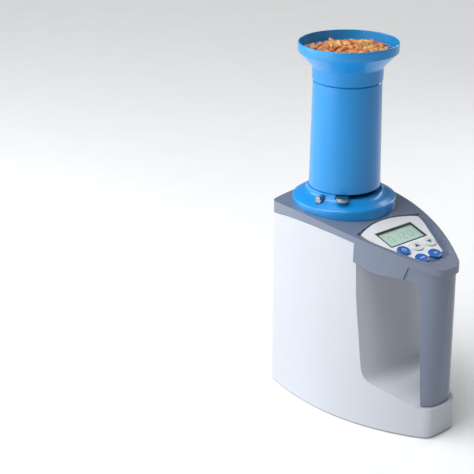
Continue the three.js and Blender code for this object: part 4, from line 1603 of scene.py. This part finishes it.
@dataclass
class Chamber:
    """The measuring chamber under the deck: collar and electrodes."""

    shop: Workshop
    form: BodyForm
    radius: float = 35.0
    wall: float = 1.8
    bottom: float = 47.6
    collar_radius: float = 38.2
    collar_rise: float = 5.2
    gap: float = 0.3

    def build(self) -> None:
        """Build the pieces that show when the drop tube is off."""
        r, top = self.radius, self.form.deck - 10.4
        can = spun("chamber_can", [(r - self.wall, self.bottom), (r, self.bottom), (r, top - 0.4),
                                   (r - 0.4, top), (r - self.wall + 0.5, top),
                                   (r - self.wall, top - 0.5)], 128)
        soften(can, 0.1, 1, corner=40)
        self.shop.hand_in(can, "housing", "electrode_steel", ["outer_electrode"])
        high = self.form.deck + self.collar_rise
        collar = spun("chamber_mouth", [
            (r - 1.6, top + self.gap), (self.collar_radius, top + self.gap),
            (self.collar_radius, high - 0.6), (self.collar_radius - 0.6, high),
            (self.collar_radius - 1.2, high), (self.collar_radius - 2.0, high - 1.0),
        ], 128)
        soften(collar, 0.2, 2, corner=40)
        self.shop.hand_in(collar, "housing", "dark_plastic", ["chamber_collar"])
        rod = cylinder("centre_electrode", 9, self.bottom, 150, steps=96)
        pick_level_faces(rod, 1)
        for shrink, rise in ((0.82, 6.0), (0.54, 5.0), (0.2, 1.8)):
            bpy.ops.mesh.extrude_region_move(TRANSFORM_OT_translate={"value": (0, 0, rise * MM)})
            bpy.ops.transform.resize(value=(shrink, shrink, 1))
        bpy.ops.object.mode_set(mode="OBJECT")
        soften(rod, 0.3, 2, corner=50, smooth=40)
        self.shop.hand_in(rod, "housing", "electrode_steel", ["inner_electrode"])


@dataclass
class Base:
    """The underside: base plate, battery door, feet and screws."""

    shop: Workshop
    form: BodyForm
    low: float = 3.0
    thick: float = 2.4
    door_y: float = -46.0
    door_half: Point2 = (29.0, 31.0)
    gap: float = 0.3

    FEET = ((-46, 36), (46, 36), (-15, -136), (15, -136))
    SCREWS = ((-46, 14), (46, 14), (-30, -104), (30, -104))

    def build(self) -> None:
        """Build the underside's pieces."""
        self.plate()
        self.door()
        for index, (x, y) in enumerate(self.FEET, 1):
            top = self.low - self.gap
            profile = [(0.02, 0), (5.6, 0), (6.4, 0.3), (7, 1.1), (7, top), (0.02, top)]
            foot = spun(f"rubber_foot_{index}", profile, 40)
            soften(foot, 0.1, 1, corner=60)
            carry(foot, Matrix.Translation(Vector((x, y, 0)) * MM))
            self.shop.hand_in(foot, "housing", "rubber_foot", [f"foot_{index}"])
        for index, (x, y) in enumerate(self.SCREWS, 1):
            self.screw(index, x, y)

    def plate(self) -> None:
        """The base plate with its raised ribs and screw holes."""
        inset = self.form.wall + self.gap
        slab_box = block("slab", (-100, -149, self.low), (100, 80, self.low + self.thick))
        plate = combine(self.form.form(inset), [slab_box], "INTERSECT")
        dx, dy = (value + self.gap for value in self.door_half)
        tools = [block("door", (-dx, self.door_y - dy, 0), (dx, self.door_y + dy, 10))]
        tools += [cylinder("hole", 1.9, 0, 10, x, y, 24) for x, y in self.SCREWS]
        for i in range(5):
            y = -92 - 7 * i
            tools.append(block("vent", (-12, y, self.low - 1), (12, y + 2.2, self.low + 0.8)))
        combine(plate, tools)
        soften(plate, 0.3, 2, corner=40)
        plate.name = "underside_plate"
        self.shop.hand_in(plate, "housing", "pale_plastic", ["base_plate"])

    def door(self) -> None:
        """The battery door with its finger grip."""
        dx, dy = self.door_half
        door = block("battery_lid", (-dx, self.door_y - dy, self.low), (dx, self.door_y + dy, 5.2))
        tools = [block("grip", (-9 + i * 0.9, self.door_y + dy - 8 + 1.8 * i, self.low - 1),
                       (9 - i * 0.9, self.door_y + dy - 7.2 + 1.8 * i, self.low + 0.7))
                 for i in range(3)]
        combine(door, tools)
        soften(door, 0.3, 2, corner=40)
        self.shop.hand_in(door, "battery_door", "white_shell", ["battery_door"])

    def screw(self, index: int, x: float, y: float) -> None:
        """A pan-head screw with a cross recess.

        Args:
            index: Its number.
            x: Place of its axis across the meter.
            y: Place of its axis along the meter.
        """
        profile = [(0.02, 1.5), (2.4, 1.5), (3.0, 1.9), (3.2, 2.4), (3.2, 2.8), (1.5, 2.8),
                   (1.5, 11), (0.02, 12.2)]
        screw = spun(f"plate_screw_{index}", profile, 32)
        tools = [block("slot", (-1.8, -0.35, 1), (1.8, 0.35, 2.2)),
                 block("slot", (-0.35, -1.8, 1), (0.35, 1.8, 2.2))]
        combine(screw, tools)
        activate(screw)
        bpy.ops.object.shade_smooth_by_angle(angle=math.radians(35))
        carry(screw, Matrix.Translation(Vector((x, y, 0)) * MM))
        self.shop.hand_in(screw, "housing", "screw_steel", [f"base_screw_{index}"])


# ---------------------------------------------------------------- studio


@dataclass
class Studio:
    """The floor, the lights and the camera."""

    shop: Workshop
    lens: float = 90.71
    eye: Point3 = (-832.4, -861.2, 674.7)
    yaw: float = 38.54
    pitch: float = 22.82
    roll: float = -0.36
    floor_size: float = 24.0
    surround: float = 0.16

    def build(self) -> None:
        """Build the studio."""
        self.camera()
        self.floor()
        self.lights()

    def camera(self) -> None:
        """The camera, aimed by yaw, pitch and roll."""
        yaw, pitch, roll = (math.radians(v) for v in (self.yaw, self.pitch, self.roll))
        forward = Vector((math.sin(yaw) * math.cos(pitch), math.cos(yaw) * math.cos(pitch),
                          -math.sin(pitch)))
        level = Vector((math.cos(yaw), -math.sin(yaw), 0))
        above = level.cross(forward)
        right = level * math.cos(roll) + above * math.sin(roll)
        up = above * math.cos(roll) - level * math.sin(roll)
        data = bpy.data.cameras.new("camera")
        data.lens = self.lens
        data.sensor_width = 36
        data.clip_end = 100
        camera = bpy.data.objects.new("camera", data)
        bpy.context.collection.objects.link(camera)
        matrix = Matrix((right, up, -forward)).transposed().to_4x4()
        matrix.translation = Vector(self.eye) * MM + self.shop.axis
        camera.matrix_world = matrix
        bpy.context.scene.camera = camera

    def floor(self) -> None:
        """A wide pale floor."""
        deselect()
        bpy.ops.mesh.primitive_plane_add(size=self.floor_size, location=(0, 0, 0))
        floor = bpy.context.object
        floor.name = "studio_floor"
        self.shop.finishes.dress(floor, "floor")

    def lights(self) -> None:
        """Soft light from the left, a strip on the right and an even surround."""
        world = bpy.data.worlds.new("surround")
        bpy.context.scene.world = world
        world.use_nodes = True
        background = world.node_tree.nodes["Background"]
        background.inputs["Color"].default_value = (1, 1, 1, 1)
        background.inputs["Strength"].default_value = self.surround
        self.area("left_box", (-720, 350, 510), (0, 150, 280), (1300, 800), 7.4)
        self.area("right_strip", (1000, 60, 700), (0, 0, 260), (180, 800), 2.6)
        self.area("back_box", (-900, 1500, 850), (0, 0, 250), (1100, 900), 7)
        self.overhead("overhead", (-0.3, 0.1, 1), 1.95, 40)
        bpy.context.scene.view_settings.view_transform = "Standard"

    def overhead(self, name: str, toward: Point3, strength: float, spread: float) -> None:
        """An even soft light from above, the same all over the floor.

        Args:
            name: Object name.
            toward: Direction from the meter to the light.
            strength: Its strength, in watts per square metre.
            spread: Apparent width of the light in degrees.
        """
        data = bpy.data.lights.new(name, "SUN")
        data.energy = strength
        data.angle = math.radians(spread)
        light = bpy.data.objects.new(name, data)
        bpy.context.collection.objects.link(light)
        light.rotation_euler = Vector(toward).to_track_quat("Z", "Y").to_euler()

    def area(self, name: str, place: Point3, target: Point3, size: Point2, power: float) -> None:
        """One rectangular light that faces a target.

        Args:
            name: Object name.
            place: Where it hangs, in millimetres.
            target: What it faces.
            size: Width and height in millimetres.
            power: Watts.
        """
        data = bpy.data.lights.new(name, "AREA")
        data.shape = "RECTANGLE"
        data.size, data.size_y = size[0] * MM, size[1] * MM
        data.energy = power
        light = bpy.data.objects.new(name, data)
        light.visible_camera = False
        bpy.context.collection.objects.link(light)
        light.location = Vector(place) * MM + self.shop.axis
        aim = (Vector(target) - Vector(place)).normalized()
        light.rotation_euler = aim.to_track_quat("-Z", "Y").to_euler()


def main() -> None:
    """Build the meter and the studio in order."""
    logging.basicConfig(level=logging.INFO, format="%(message)s")
    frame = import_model()
    shop = Workshop(frame)
    form = BodyForm()
    studio = Studio(shop)
    studio.build()
    panel = Panel(shop)
    Housing(shop, form).build(panel)
    panel.build()
    Dropper(shop, form).build()
    Hopper(shop).build()
    Chamber(shop, form).build()
    Base(shop, form).build()


if __name__ == "__main__":
    main()
